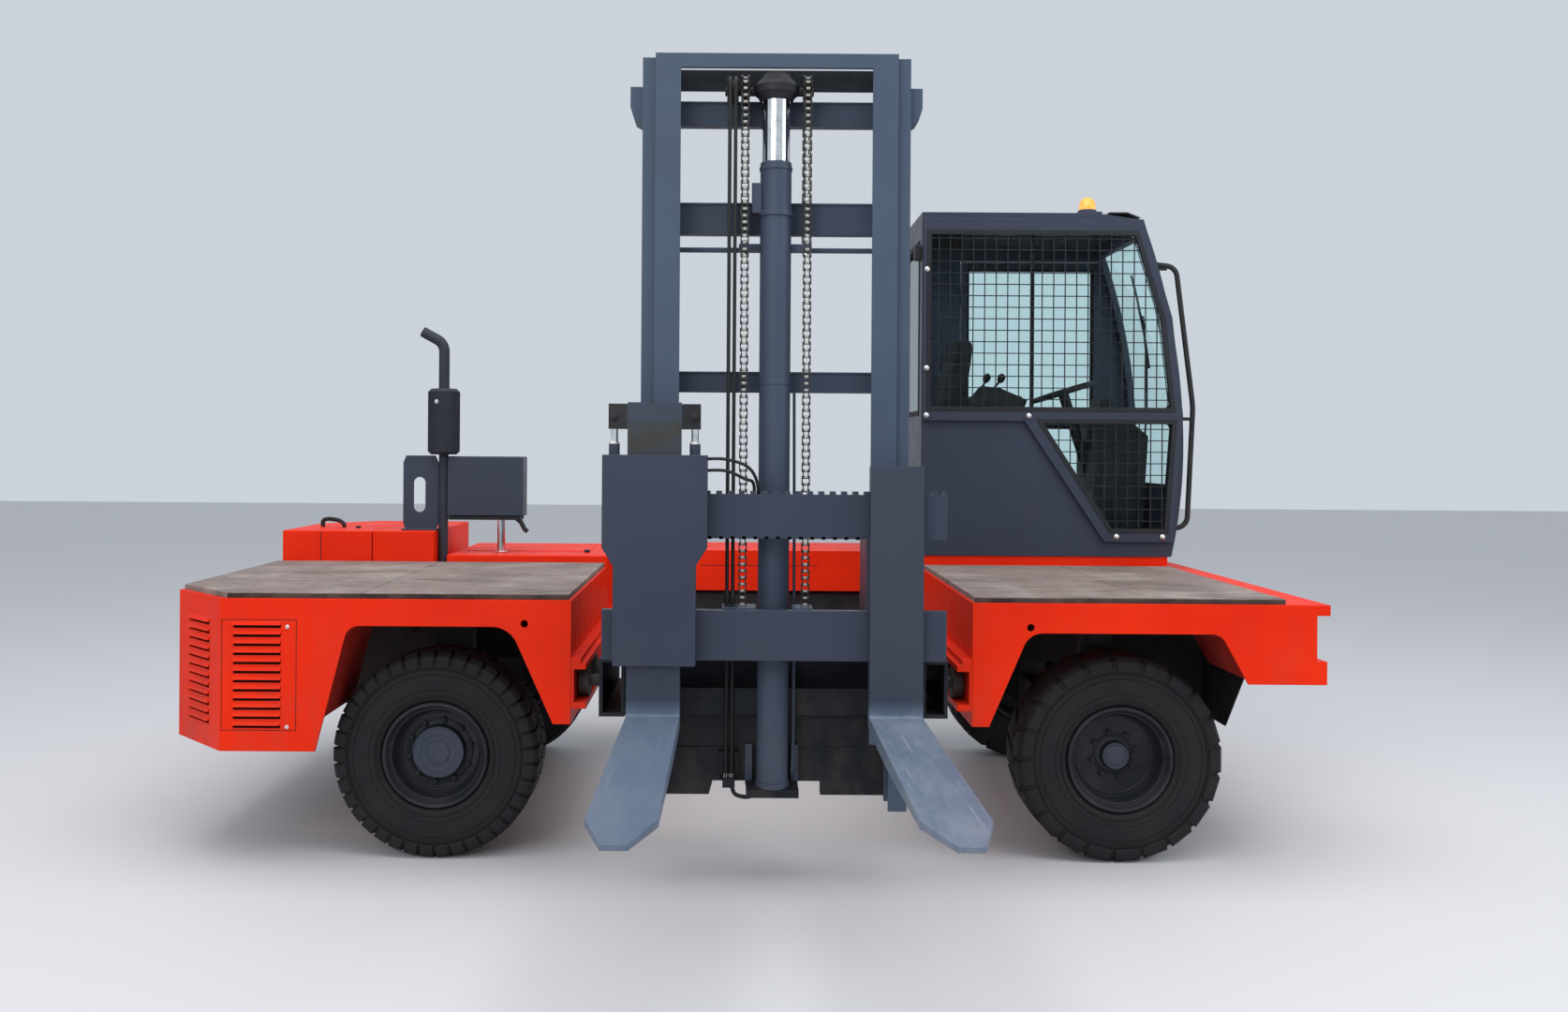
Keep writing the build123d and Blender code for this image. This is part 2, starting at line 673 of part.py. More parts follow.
def window_grille(points):
    """A mesh guard: a frame round the window, upright bars and level bars behind them."""
    outer = offset(outline(points), GRILLE_FRAME - 6, kind=Kind.INTERSECTION)
    inner = offset(outline(points), -6, kind=Kind.INTERSECTION)
    y = (CAB_NEAR - 24, CAB_NEAR)
    shape = slab_y(outer - inner, y)
    box = outer.bounding_box()
    uprights = None
    mid = (y[0] + y[1]) / 2
    x = box.min.X + GRILLE_PITCH
    while x < box.max.X - GRILLE_BAR:
        bar = block((x, x + GRILLE_BAR), (mid - GRILLE_BAR - 0.25, mid - 0.25), (box.min.Y, box.max.Y))
        uprights = bar if uprights is None else uprights + bar
        x += GRILLE_PITCH
    z = box.min.Y + GRILLE_PITCH
    while z < box.max.Y - GRILLE_BAR:
        bar = block((box.min.X, box.max.X), (mid + 0.25, mid + 0.25 + GRILLE_BAR), (z, z + GRILLE_BAR))
        uprights += bar
        z += GRILLE_PITCH
    field = slab_y(offset(inner, 2, kind=Kind.INTERSECTION), y)
    return shape + (uprights & field)


def cab_door():
    """Far side door: a panel with its window cut, a handle and two hinge barrels."""
    x = (DOOR_X[0] + DOOR_GAP, DOOR_X[1] - DOOR_GAP)
    z = (DOOR_Z[0] + DOOR_GAP, DOOR_Z[1] - DOOR_GAP)
    shape = block(x, (CAB_FAR - CAB_WALL, CAB_FAR), z)
    window = outline([(x[0] + 70, 1900), (x[1] - 70, 1900), (x[1] - 70, z[1] - 70),
                      (x[0] + 70, z[1] - 70)], 40)
    shape -= slab_y(window, (CAB_FAR - CAB_WALL - 1, CAB_FAR + 1))
    grip = (x[1] - 170, x[1] - 40)
    shape += block(grip, (CAB_FAR + 8, CAB_FAR + 18), (1812, 1830))
    for foot in (grip[0], grip[1] - 18):
        shape += block((foot, foot + 18), (CAB_FAR, CAB_FAR + 8), (1812, 1830))
    for z0 in HINGES_Z:
        half = (z0, z0 + HINGE_L / 2)
        shape += block((HINGE_X, HINGE_X + 55), (CAB_FAR, CAB_FAR + HINGE_T), half)
        shape += rod_z(HINGE_X, HINGE_Y, HINGE_R, half)
        shape -= rod_z(HINGE_X, HINGE_Y, HINGE_PIN_R + SEAT_GAP, (z0 - 1, z0 + HINGE_L))
    return shape


def door_glass():
    """The door's pane."""
    x = (DOOR_X[0] + DOOR_GAP + 70 + SEAT_GAP, DOOR_X[1] - DOOR_GAP - 70 - SEAT_GAP)
    z = (1900 + SEAT_GAP, DOOR_Z[1] - DOOR_GAP - 70 - SEAT_GAP)
    face = outline([(x[0], z[0]), (x[1], z[0]), (x[1], z[1]), (x[0], z[1])], 40)
    return slab_y(face, (CAB_FAR - 23, CAB_FAR - 17))


SEAT_Y = (CAB_NEAR + 180, CAB_FAR - 180)
SEAT_Z = 1640
SEAT_T = 110
FLOOR_Z = CAB_BASE_Z + CAB_WALL


def seat_cushions():
    """Seat cushion and a leaning backrest."""
    top = SEAT_Z + SEAT_T
    cushion = outline([(1120, SEAT_Z), (1580, SEAT_Z), (1580, top), (1120, top)], [0, 30, 45, 0])
    back = outline([(1130, top + SEAT_GAP), (1240, top + SEAT_GAP), (1160, 2260), (1060, 2260)],
                   [0, 0, 45, 45])
    return slab_y(cushion, SEAT_Y) + slab_y(back, SEAT_Y)


def seat_base():
    """Sprung box below the seat."""
    shape = block((1180, 1520), (SEAT_Y[0] + 50, SEAT_Y[1] - 50), (FLOOR_Z, SEAT_Z - SEAT_GAP))
    return chamfer(shape.edges().filter_by(Axis.Z), 20)


def side_console():
    """Lever console between the seat and the loading side window."""
    face = outline([(1180, FLOOR_Z), (1420, FLOOR_Z), (1460, 1880), (1440, 1950), (1180, 1950)], 20)
    return slab_y(face, (CAB_NEAR + CAB_WALL + 20, CAB_NEAR + CAB_WALL + 120))


STEER_X = 1740
STEER_Z = 1985


def steering_column():
    """Leaning column with its wheel: a rim, three spokes and a hub."""
    mid = (SEAT_Y[0] + SEAT_Y[1]) / 2
    tilt = Rot(0, -18, 0)
    wheel = Cylinder(178, 22) - Cylinder(154, 24) + Cylinder(32, 30)
    for turn in (0, 120, 240):
        wheel += Rot(0, 0, turn) * Pos(90, 0, 0) * Box(150, 22, 10)
    column = Pos(0, 0, -430) * Cylinder(28, 860)
    shape = Pos(STEER_X, mid, STEER_Z) * (tilt * (wheel + column))
    shape &= block((1300, 2300), (CAB_NEAR, CAB_FAR), (FLOOR_Z, 2300))
    return shape


def beacon():
    """Round lamp on a flat foot."""
    y = CAB_NEAR + 70
    x = 1770
    shape = rod_z(x, y, 60, (CAB_TOP_Z, CAB_TOP_Z + 10))
    dome = rod_z(x, y, 47, (CAB_TOP_Z + 10, CAB_TOP_Z + 93))
    return shape + chamfer(dome.edges().group_by(Axis.Z)[-1], 18)


# Handrail: x, z, bend radius
HANDRAIL = [(2080, 2625, 0), (2215, 2610, 60), (2306, 1900, 400), (2280, 1290, 60), (2120, 1268, 0)]


def handrail():
    """Tube that stands in front of the cab's near front edge."""
    tube = tube_run(HANDRAIL, 13, CAB_NEAR + 40)
    return tube - slab_y(CAB_FACE, (CAB_NEAR - 1, CAB_FAR + 1))


def cab_step():
    """Two treads on hangers below the door."""
    shape = None
    y = (FAR - 200, FAR - 4)
    for x in (2030, 2230):
        strap = block((x, x + 10), y, (440, SKIRT_FRONT_Z))
        shape = strap if shape is None else shape + strap
    return shape + block((2030, 2240), y, (440, 452))


# Mast

def both(shape):
    """A mast piece and its mirror image about the mast's centre."""
    return Pos(MAST_X, 0, 0) * (shape + mirror(shape, Plane.YZ))


# Outer mast cross-members: low z, high z, half width, far depth
OUTER_CROSS = [
    (2904, OUTER_TOP, MAST_HALF, 15),
    (2490, 2610, MAST_HALF - WEB, 10),
    (1889, 1967, MAST_HALF - WEB, 10),
    (350, 732, MAST_HALF - WEB, 20),
]
HEAD_LUG_W = 50
FOOT_HALF = 70


def outer_mast():
    """Two channels that open inwards, joined behind by cross-members."""
    z = (MAST_BOTTOM, OUTER_TOP)
    y = (NEAR + OUTER_NEAR, NEAR + OUTER_FAR)
    post = block((-MAST_HALF, -MAST_HALF + WEB), y, z)
    post += block((-MAST_HALF, -MAST_HALF + CHANNEL_W), (y[0], y[0] + WEB), z)
    post += block((-MAST_HALF, -MAST_HALF + CHANNEL_W), (y[1] - WEB, y[1]), z)
    shape = both(post)
    for low, high, half, far in OUTER_CROSS:
        shape += block((MAST_X - half, MAST_X + half), (y[1], NEAR + far), (low, high))
    lug = outline([(-MAST_HALF, 2915), (-MAST_HALF - HEAD_LUG_W, 2945),
                   (-MAST_HALF - HEAD_LUG_W, 3058), (-MAST_HALF, 3058)])
    shape += both(slab_y(lug, (y[0] + 40, y[1])))
    foot = (NEAR + CYLINDER_DEPTH - TUBE_R, y[1])
    shape += block((MAST_X - FOOT_HALF, MAST_X + FOOT_HALF), foot, (350, TUBE_BOTTOM))
    return shape


def lift_cylinder():
    """Cylinder tube with a collar and the beam that holds the chain ends."""
    y = NEAR + CYLINDER_DEPTH
    shape = rod_z(MAST_X, y, TUBE_R, (TUBE_BOTTOM, TUBE_TOP))
    shape += rod_z(MAST_X, y, TUBE_R + 5, (TUBE_TOP - 60, TUBE_TOP))
    anchor = (y + SHEAVE_R - CHAIN_T - 6, y + SHEAVE_R + CHAIN_T - 4)
    shape += block((MAST_X - CHAIN_HALF - 20, MAST_X + CHAIN_HALF + 20), anchor, (2440, 2480))
    shape -= rod_z(MAST_X, y, TUBE_BORE, (TUBE_BOTTOM + 40, TUBE_TOP + 1))
    return shape


# Inner mast cross-members: low z, high z
INNER_CROSS = [(3131, INNER_TOP), (3040, 3118), (620, 720)]
INNER_FAR = OUTER_FAR - WEB - 9
INNER_EDGE = 364


def inner_mast():
    """Two I posts nested in the outer channels, joined by cross-members."""
    z = (INNER_BOTTOM, INNER_TOP)
    y0 = NEAR + INNER_NEAR
    y1 = NEAR + INNER_FAR
    post = block((-INNER_EDGE - INNER_FLANGE_W, -INNER_EDGE), (y0, y0 + WEB), z)
    post += block((-425, -407), (y0, y1), z)
    post += block((-470, -380), (y1 - WEB, y1), z)
    shape = both(post)
    for low, high in INNER_CROSS:
        shape += block((MAST_X - 407, MAST_X + 407), (y1 - WEB, y1), (low, high))
    return shape


def lift_rod():
    """Chromed rod with its piston, the crosshead and the two chain sheaves."""
    y = NEAR + CYLINDER_DEPTH
    shape = rod_z(MAST_X, y, ROD_R, (1150, 3011))
    shape += rod_z(MAST_X, y, TUBE_BORE - SEAT_GAP, (1150, 1190))
    back = NEAR + INNER_FAR - WEB
    shape += block((MAST_X - 66, MAST_X + 66), (y - 50, back), (3011, 3118))
    for side in (-1, 1):
        x = MAST_X + side * CHAIN_HALF
        shape += rod_x(y, SHEAVE_Z, SHEAVE_R - SEAT_GAP, (x - CHAIN_W / 2 - 2, x + CHAIN_W / 2 + 2))
        shape += rod_x(y, SHEAVE_Z, 18, tuple(sorted((MAST_X + side * 60, x))))
    return shape


CARRIAGE_ANCHOR_Z = LOWER_BAR_HIGH + 4


def chain_runs(front):
    """Upright runs of both lift chains, in front of the sheaves or behind them."""
    y = NEAR + CYLINDER_DEPTH
    mid = y - SHEAVE_R - CHAIN_T / 2 if front else y + SHEAVE_R + CHAIN_T / 2
    low = CARRIAGE_ANCHOR_Z if front else 2480
    shape = None
    for side in (-1, 1):
        x = MAST_X + side * CHAIN_HALF
        run = block((x - CHAIN_W / 2, x + CHAIN_W / 2), (mid - CHAIN_T / 2, mid + CHAIN_T / 2),
                    (low, SHEAVE_Z))
        shape = run if shape is None else shape + run
    return shape


# Cradle

def mast_cradle():
    """Two side beams and a cross-beam that carry the mast."""
    inner = CRADLE_HALF - CRADLE_BEAM_W
    z = (CRADLE_LOW, CRADLE_HIGH)
    y = (NEAR - 230, NEAR + CRADLE_FAR)
    wall = 14
    beam = block((-CRADLE_HALF, -inner), y, z)
    beam -= block((-CRADLE_HALF + wall, -inner - wall), (y[0] - 1, y[1] + 1),
                  (z[0] + wall, z[1] - wall))
    beam += block((-inner, -MAST_HALF), (NEAR + OUTER_NEAR, NEAR + 60), z)
    foot_top = OUTER_CROSS[-1][1]
    beam += block((-MAST_HALF, -MAST_HALF + CHANNEL_W), (NEAR + OUTER_FAR, NEAR + 60),
                  (foot_top, CRADLE_HIGH))
    shape = both(beam)
    shape += block((MAST_X - inner, MAST_X + inner), (NEAR + 60, NEAR + 160), z)
    return shape


WELL_HALF = (WELL_FRONT - WELL_REAR) / 2


def cradle_rollers():
    """Four rollers that run in the rails, each on its pin out of the cradle's side."""
    outer = -WELL_HALF + RAIL_WEB + 7
    shape = None
    for depth in ROLLER_DEPTHS:
        roller = rod_x(NEAR + depth, ROLLER_Z, ROLLER_R, (outer, outer + ROLLER_W))
        roller += rod_x(NEAR + depth, ROLLER_Z, 24, (outer + ROLLER_W, -CRADLE_HALF - SEAT_GAP))
        shape = roller if shape is None else shape + roller
    return both(shape)


# Fork carriage and forks

TOOTH_PITCH = 42
BAR_FRONT = BAR_BACK - BAR_T


def fork_carriage():
    """Two bars with a notched top edge, side plates, and rollers in the inner mast."""
    y = (NEAR + BAR_FRONT, NEAR + BAR_BACK)
    shape = block((BAR_REAR_X, BAR_FRONT_X), y, (UPPER_BAR_LOW, UPPER_BAR_HIGH))
    x = BAR_REAR_X + TOOTH_PITCH / 2
    while x < BAR_FRONT_X - TOOTH_PITCH / 2:
        notch = block((x, x + TOOTH_PITCH / 2), (y[0] - 1, y[1] + 1),
                      (UPPER_BAR_HIGH - 12, UPPER_BAR_HIGH + 1))
        shape -= notch
        x += TOOTH_PITCH
    shape += block((BAR_REAR_X, BAR_FRONT_X), y, (LOWER_BAR_LOW, LOWER_BAR_HIGH))
    plate = block((-355, -337), (y[0], NEAR - 90), (LOWER_BAR_LOW, UPPER_BAR_HIGH - 20))
    for z in (1000, 1430):
        plate += rod_x(NEAR - 136, z, 55, (-401, -355))
    shape += both(plate)
    anchor_y = (y[1], NEAR + CYLINDER_DEPTH - SHEAVE_R + 8)
    ear = block((-CHAIN_HALF - 24, -TUBE_R - 12), anchor_y, (LOWER_BAR_HIGH - 50, CARRIAGE_ANCHOR_Z))
    return shape + both(ear)


HOUSING_HALF = 191
HOUSING_LOW_HALF = 150
HOUSING_X = -312
ROD_HALF = 148
LEVEL_ROD_R = 7
LEVEL_BORE_R = 9


def fork_housing():
    """Guide box for the left fork, with two small levelling cylinders on its top."""
    face = outline([
        (HOUSING_X - HOUSING_HALF, HOUSING_TOP), (HOUSING_X + HOUSING_HALF, HOUSING_TOP),
        (HOUSING_X + HOUSING_HALF, 1315), (HOUSING_X + HOUSING_LOW_HALF, 1248),
        (HOUSING_X + HOUSING_LOW_HALF, 886), (HOUSING_X - HOUSING_LOW_HALF, 886),
        (HOUSING_X - HOUSING_LOW_HALF, 1248), (HOUSING_X - HOUSING_HALF, 1315),
    ])
    shape = slab_y(face, (NEAR - SHANK_OUT - 32, NEAR + BAR_FRONT))
    slot = FORK_W / 2 + RUN_GAP
    shape -= block((LEFT_FORK_X - slot, LEFT_FORK_X + slot),
                   (NEAR - SHANK_OUT - 8, NEAR + BAR_FRONT + 1), (800, HOUSING_TOP + 1))
    y = NEAR - SHANK_OUT + 22
    for side in (-1, 1):
        x = LEFT_FORK_X + side * ROD_HALF
        shape += rod_z(x, y, 20, (HOUSING_TOP, HOUSING_TOP + 40))
        shape -= rod_z(x, y, LEVEL_BORE_R, (1450, HOUSING_TOP + 41))
    return shape


def fork(x, top_z, thickness):
    """One fork: shank, rounded heel and a blade that thins and narrows to its tip."""
    front = NEAR - SHANK_OUT
    back = front + thickness
    tip = front - FORK_LENGTH
    heel = FORK_TOP_Z - FORK_T
    face = outline([
        (back, top_z), (back, heel), (front - 500, heel), (tip, FORK_TOP_Z - FORK_TIP_T),
        (tip, FORK_TOP_Z), (front, FORK_TOP_Z), (front, top_z),
    ], [0, 48, 0, 0, 0, 12, 0])
    shape = slab_x(face, (x - FORK_W / 2, x + FORK_W / 2))
    half = FORK_W / 2
    for side in (-1, 1):
        corner = outline([
            (x + side * FORK_TIP_W / 2, tip - 1), (x + side * (half + 1), tip - 1),
            (x + side * (half + 1), tip + FORK_TIP_L),
        ])
        shape -= slab_z(corner, (heel - 1, FORK_TOP_Z + 1))
    return shape


def right_fork():
    """The fork that hooks over the upper bar."""
    shape = fork(RIGHT_FORK_X, 1615, SHANK_OUT + BAR_FRONT)
    hook = (NEAR + BAR_FRONT, NEAR + BAR_FRONT + 26)
    shape += block((RIGHT_FORK_X - 60, RIGHT_FORK_X + 60), hook, (UPPER_BAR_HIGH, 1590))
    return shape


def left_fork():
    """The fork that slides in the housing, with ears and two chromed rods."""
    thickness = SHANK_OUT + BAR_FRONT - 5
    shape = fork(LEFT_FORK_X, 1843, thickness)
    y = (NEAR - SHANK_OUT, NEAR - SHANK_OUT + thickness)
    for side in (-1, 1):
        ear = tuple(sorted((LEFT_FORK_X + side * FORK_W / 2, LEFT_FORK_X + side * (ROD_HALF + 18))))
        shape += block(ear, y, (1746, 1836))
        place = (LEFT_FORK_X + side * ROD_HALF, NEAR - SHANK_OUT + 22)
        shape += rod_z(*place, LEVEL_ROD_R, (1560, 1746))
        shape += rod_z(*place, LEVEL_BORE_R - SEAT_GAP, (1560, 1585))
    return shape


def pair(make, *sizes):
    """Two like pieces, each made from one of the sizes."""
    return [make(size) for size in sizes]


# Every node that isn't a wheel: its name and the pieces in it
PIECES = {
    "rear_pod": [rear_pod()],
    "front_pod": [front_pod()],
    "wheel_liners": [wheel_liners()],
    "deck_boards": [rear_boards(), front_boards()],
    "chassis_frame": [chassis_frame(), main_beam()],
    "mast_rails": [mast_rails()],
    "tank": [tank()],
    "engine_block": [engine_block()],
    "rear_axle": [rear_axle()],
    "front_axle": [front_axle()],
    "engine_hood": [engine_hood()],
    "service_covers": [fixed_hood(), low_hood()],
    "exhaust": [exhaust()],
    "exhaust_stand": [exhaust_bracket(), grey_box()],
    "box_posts": [box_posts()],
    "cab_shell": [cab_shell()],
    "cab_plinth": [cab_plinth()],
    "cab_roof": [cab_roof()],
    "cab_glass": [cab_glass()],
    "cab_door": [cab_door()],
    "door_glass": [door_glass()],
    "window_grilles": pair(window_grille, UPPER_WINDOW, LOWER_WINDOW),
    "seat_cushions": [seat_cushions()],
    "cab_fittings": [seat_base(), side_console(), steering_column()],
    "beacon": [beacon()],
    "cab_access": [handrail(), cab_step()],
    "outer_mast": [outer_mast()],
    "lift_cylinder": [lift_cylinder()],
    "mast_cradle": [mast_cradle()],
    "cradle_rollers": [cradle_rollers()],
    "inner_mast": [inner_mast()],
    "lift_rod": [lift_rod()],
    "fork_carriage": [fork_carriage()],
    "fork_housing": [fork_housing()],
    "right_fork": [right_fork()],
    "left_fork": [left_fork()],
    "knuckle_near": [knuckle("near")],
    "knuckle_far": [knuckle("far")],
    "chain_front": [chain_runs(True)],
    "chain_rear": [chain_runs(False)],
}

for name, shapes in PIECES.items():
    save(shapes, name)

for name, x, side, hub_r, hub_out, dish, lugs in WHEELS:
    save([place_wheel(rim(hub_r, hub_out, dish), x, side)], f"rim_{name}")
    save([place_wheel(tyre(lugs), x, side)], f"tyre_{name}")
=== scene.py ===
"""Looks of the side loader forklift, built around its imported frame. Metres, +Z up."""

import json
import math
import random

import bmesh
import bpy
from mathutils import Matrix, Vector


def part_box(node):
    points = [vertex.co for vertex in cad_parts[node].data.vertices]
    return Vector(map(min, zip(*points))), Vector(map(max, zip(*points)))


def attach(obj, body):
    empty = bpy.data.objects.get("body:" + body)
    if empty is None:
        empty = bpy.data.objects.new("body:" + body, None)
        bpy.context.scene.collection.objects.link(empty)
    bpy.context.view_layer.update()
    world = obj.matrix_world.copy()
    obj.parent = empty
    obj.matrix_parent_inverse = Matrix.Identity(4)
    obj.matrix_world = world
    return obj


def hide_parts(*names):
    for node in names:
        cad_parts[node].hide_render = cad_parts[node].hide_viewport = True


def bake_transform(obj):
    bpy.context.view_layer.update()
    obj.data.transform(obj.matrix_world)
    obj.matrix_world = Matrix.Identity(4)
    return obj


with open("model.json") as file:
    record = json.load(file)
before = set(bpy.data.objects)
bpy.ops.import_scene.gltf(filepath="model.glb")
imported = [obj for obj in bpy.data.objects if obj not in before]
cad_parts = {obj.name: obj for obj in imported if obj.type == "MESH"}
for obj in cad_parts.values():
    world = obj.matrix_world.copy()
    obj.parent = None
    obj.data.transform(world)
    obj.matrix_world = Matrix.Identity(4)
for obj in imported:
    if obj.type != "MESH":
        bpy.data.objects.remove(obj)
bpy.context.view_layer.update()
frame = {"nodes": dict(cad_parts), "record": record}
NODES = frame["nodes"]


def limits(node, axis):
    """A node's lowest and highest place along x, y or z."""
    low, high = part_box(node)
    return getattr(low, axis), getattr(high, axis)


# Driving places, read from the frame
NEAR, FAR = limits("rear_pod", "y")
DECK = limits("rear_pod", "z")[1]
REAR = limits("rear_pod", "x")[0]
CAB_NEAR = limits("cab_shell", "y")[0]
CAB_REAR = limits("cab_shell", "x")[0]
CAB_FAR = FAR - 0.02
ROOF = limits("cab_roof", "z")[1]
MAST_X = sum(limits("outer_mast", "x")) / 2
HOOD_TOP = limits("service_covers", "z")[1]
CORNER = 0.284

# The photograph's camera, worked out from its vanishing point and the tyres
IMAGE_W, IMAGE_H = 1674, 1080
PRINCIPAL_X, PRINCIPAL_Y = 785, 475
FOCAL_PX = 1351
CAMERA_X = -0.021
CAMERA_BACK = 5.0
CAMERA_Z = 1.689
CAMERA_ROLL = math.radians(-0.38)
SENSOR = 36.0
FLOOR_HALF = 30.0


def add_object(name, data):
    """A new object in the scene."""
    thing = bpy.data.objects.new(name, data)
    bpy.context.scene.collection.objects.link(thing)
    return thing


def add_camera():
    """The photograph's viewpoint: level, with the frame shifted off the optical axis."""
    data = bpy.data.cameras.new("camera")
    data.sensor_width = SENSOR
    data.lens = SENSOR * FOCAL_PX / IMAGE_W
    data.shift_x = (IMAGE_W / 2 - PRINCIPAL_X) / IMAGE_W
    data.shift_y = -(IMAGE_H / 2 - PRINCIPAL_Y) / IMAGE_W
    camera = add_object("camera", data)
    roll = Matrix.Rotation(CAMERA_ROLL, 4, "Y") @ Matrix.Rotation(math.pi / 2, 4, "X")
    camera.matrix_world = Matrix.Translation((CAMERA_X, NEAR - CAMERA_BACK, CAMERA_Z)) @ roll
    bpy.context.scene.camera = camera


def add_light(name, place, target, size, power, colour=(1, 1, 1)):
    """A soft rectangular lamp that looks at a point."""
    data = bpy.data.lights.new(name, "AREA")
    data.shape = "RECTANGLE"
    data.size, data.size_y = size
    data.energy = power
    data.color = colour
    lamp = add_object(name, data)
    lamp.location = place
    look = Vector(target) - Vector(place)
    lamp.rotation_euler = look.to_track_quat("-Z", "Y").to_euler()


def add_studio():
    """Pale floor, soft overcast light from above and a little fill from the camera's side."""
    mesh = bpy.data.meshes.new("floor")
    ends = (-FLOOR_HALF, FLOOR_HALF)
    mesh.from_pydata([(x, y, 0) for x, y in corners(*ends, *ends)], [], [(0, 1, 2, 3)])
    floor = add_object("floor", mesh)
    material = bpy.data.materials.new("floor")
    material.use_nodes = True
    shader = material.node_tree.nodes["Principled BSDF"]
    shader.inputs["Base Color"].default_value = (0.6, 0.6, 0.61, 1)
    shader.inputs["Roughness"].default_value = 0.6
    mesh.materials.append(material)
    world = bpy.data.worlds.new("world")
    world.use_nodes = True
    background = world.node_tree.nodes["Background"]
    background.inputs["Color"].default_value = (0.84, 0.9, 0.98, 1)
    background.inputs["Strength"].default_value = 0.72
    bpy.context.scene.world = world
    add_light("sky", (0, -1.5, 8.0), (0, 0, 0), (9, 7), 520)
    add_light("front", (-3.5, -8.5, 5.0), (0, 0, 1.2), (5, 4), 240)
    add_light("side", (7.5, -3.0, 4.5), (0.5, 0, 1.2), (4, 3), 140)
    bpy.context.scene.view_settings.view_transform = "Standard"


class Shade:
    """A material being made: its node tree, with short calls for the nodes it uses."""

    def __init__(self, name, gloss=0.5):
        self.material = bpy.data.materials.new(name)
        self.material.use_nodes = True
        self.tree = self.material.node_tree
        self.shader = self.tree.nodes["Principled BSDF"]
        self.shader.inputs["Specular IOR Level"].default_value = gloss
        self.place = self.add("ShaderNodeTexCoord", {}).outputs["Object"]

    def feed(self, node, inputs):
        """Give a node's inputs numbers, colours or other nodes' outputs."""
        for key, value in inputs.items():
            socket = node.inputs[key]
            if isinstance(value, bpy.types.NodeSocket):
                self.tree.links.new(value, socket)
            elif socket.type == "RGBA":
                socket.default_value = (*value, 1)
            else:
                socket.default_value = value

    def add(self, kind, inputs, **settings):
        node = self.tree.nodes.new(kind)
        for key, value in settings.items():
            setattr(node, key, value)
        self.feed(node, inputs)
        return node

    def noise(self, scale, detail=4, rough=0.55, stretch=(1, 1, 1)):
        """Cloudy noise, stretched along the axes."""
        place = self.add("ShaderNodeMapping", {"Scale": stretch, "Vector": self.place}).outputs["Vector"]
        inputs = {"Scale": scale, "Detail": detail, "Roughness": rough, "Vector": place}
        return self.add("ShaderNodeTexNoise", inputs).outputs["Fac"]

    def wave(self, scale, direction="Z"):
        """Even bands across one axis."""
        inputs = {"Scale": scale, "Vector": self.place}
        return self.add("ShaderNodeTexWave", inputs, bands_direction=direction).outputs["Fac"]

    def ramp(self, value, low, high, start=0.0, end=1.0):
        """Map a value from low..high to start..end, kept inside."""
        inputs = {"From Min": low, "From Max": high, "To Min": start, "To Max": end, "Value": value}
        return self.add("ShaderNodeMapRange", inputs).outputs["Result"]

    def mix(self, factor, first, second):
        """Mix two colours; each is a colour or another node's output."""
        node = self.add("ShaderNodeMix", {"Factor": factor}, data_type="RGBA")
        places = {s.name: index for index, s in enumerate(node.inputs) if s.type == "RGBA"}
        self.feed(node, {places["A"]: first, places["B"]: second})
        return next(s for s in node.outputs if s.type == "RGBA")

    def math(self, kind, first, second):
        inputs = {0: first, 1: second}
        return self.add("ShaderNodeMath", inputs, operation=kind, use_clamp=True).outputs["Value"]

    def height(self):
        """The point's height above the ground."""
        return self.add("ShaderNodeSeparateXYZ", {"Vector": self.place}).outputs["Z"]

    def rounded(self, radius):
        """The normal as if the edges were rounded."""
        return self.add("ShaderNodeBevel", {"Radius": radius}, samples=6).outputs["Normal"]

    def edges(self, radius):
        """1 along the sharp edges and 0 on flat faces: how far rounding turns the normal."""
        flat = self.add("ShaderNodeNewGeometry", {}).outputs["Normal"]
        inputs = {0: self.rounded(radius), 1: flat}
        turned = self.add("ShaderNodeVectorMath", inputs, operation="DOT_PRODUCT").outputs["Value"]
        return self.ramp(turned, 0.99, 0.8, 0, 1)

    def finish(self, colour, roughness, bump=None, strength=0.0, distance=0.0, metallic=0.0,
               round_edge=0.0):
        """Feed the shader: colour, gloss, and a normal from rounded edges and a bump's height."""
        self.feed(self.shader, {"Base Color": colour, "Roughness": roughness, "Metallic": metallic})
        normal = {"Normal": self.rounded(round_edge)} if round_edge else {}
        if bump is not None:
            inputs = {"Strength": strength, "Distance": distance, "Height": bump}
            normal["Normal"] = self.add("ShaderNodeBump", inputs | normal).outputs["Normal"]
        self.feed(self.shader, normal)
        return self.material


DIRT = (0.10, 0.075, 0.062)
ORANGE = (0.80, 0.026, 0.003)
ORANGE_DARK = (0.70, 0.018, 0.002)
CAB_SLATE = (0.034, 0.043, 0.07)
MAST_SLATE = (0.058, 0.085, 0.13)
# Mast slate darkened as painted shade, for parts in half shade
HALF_SHADE_SLATE = (0.05, 0.067, 0.104)
# Mast slate darkened as painted shade, for parts in deep shade
DEEP_SHADE_SLATE = (0.0095, 0.0125, 0.0185)


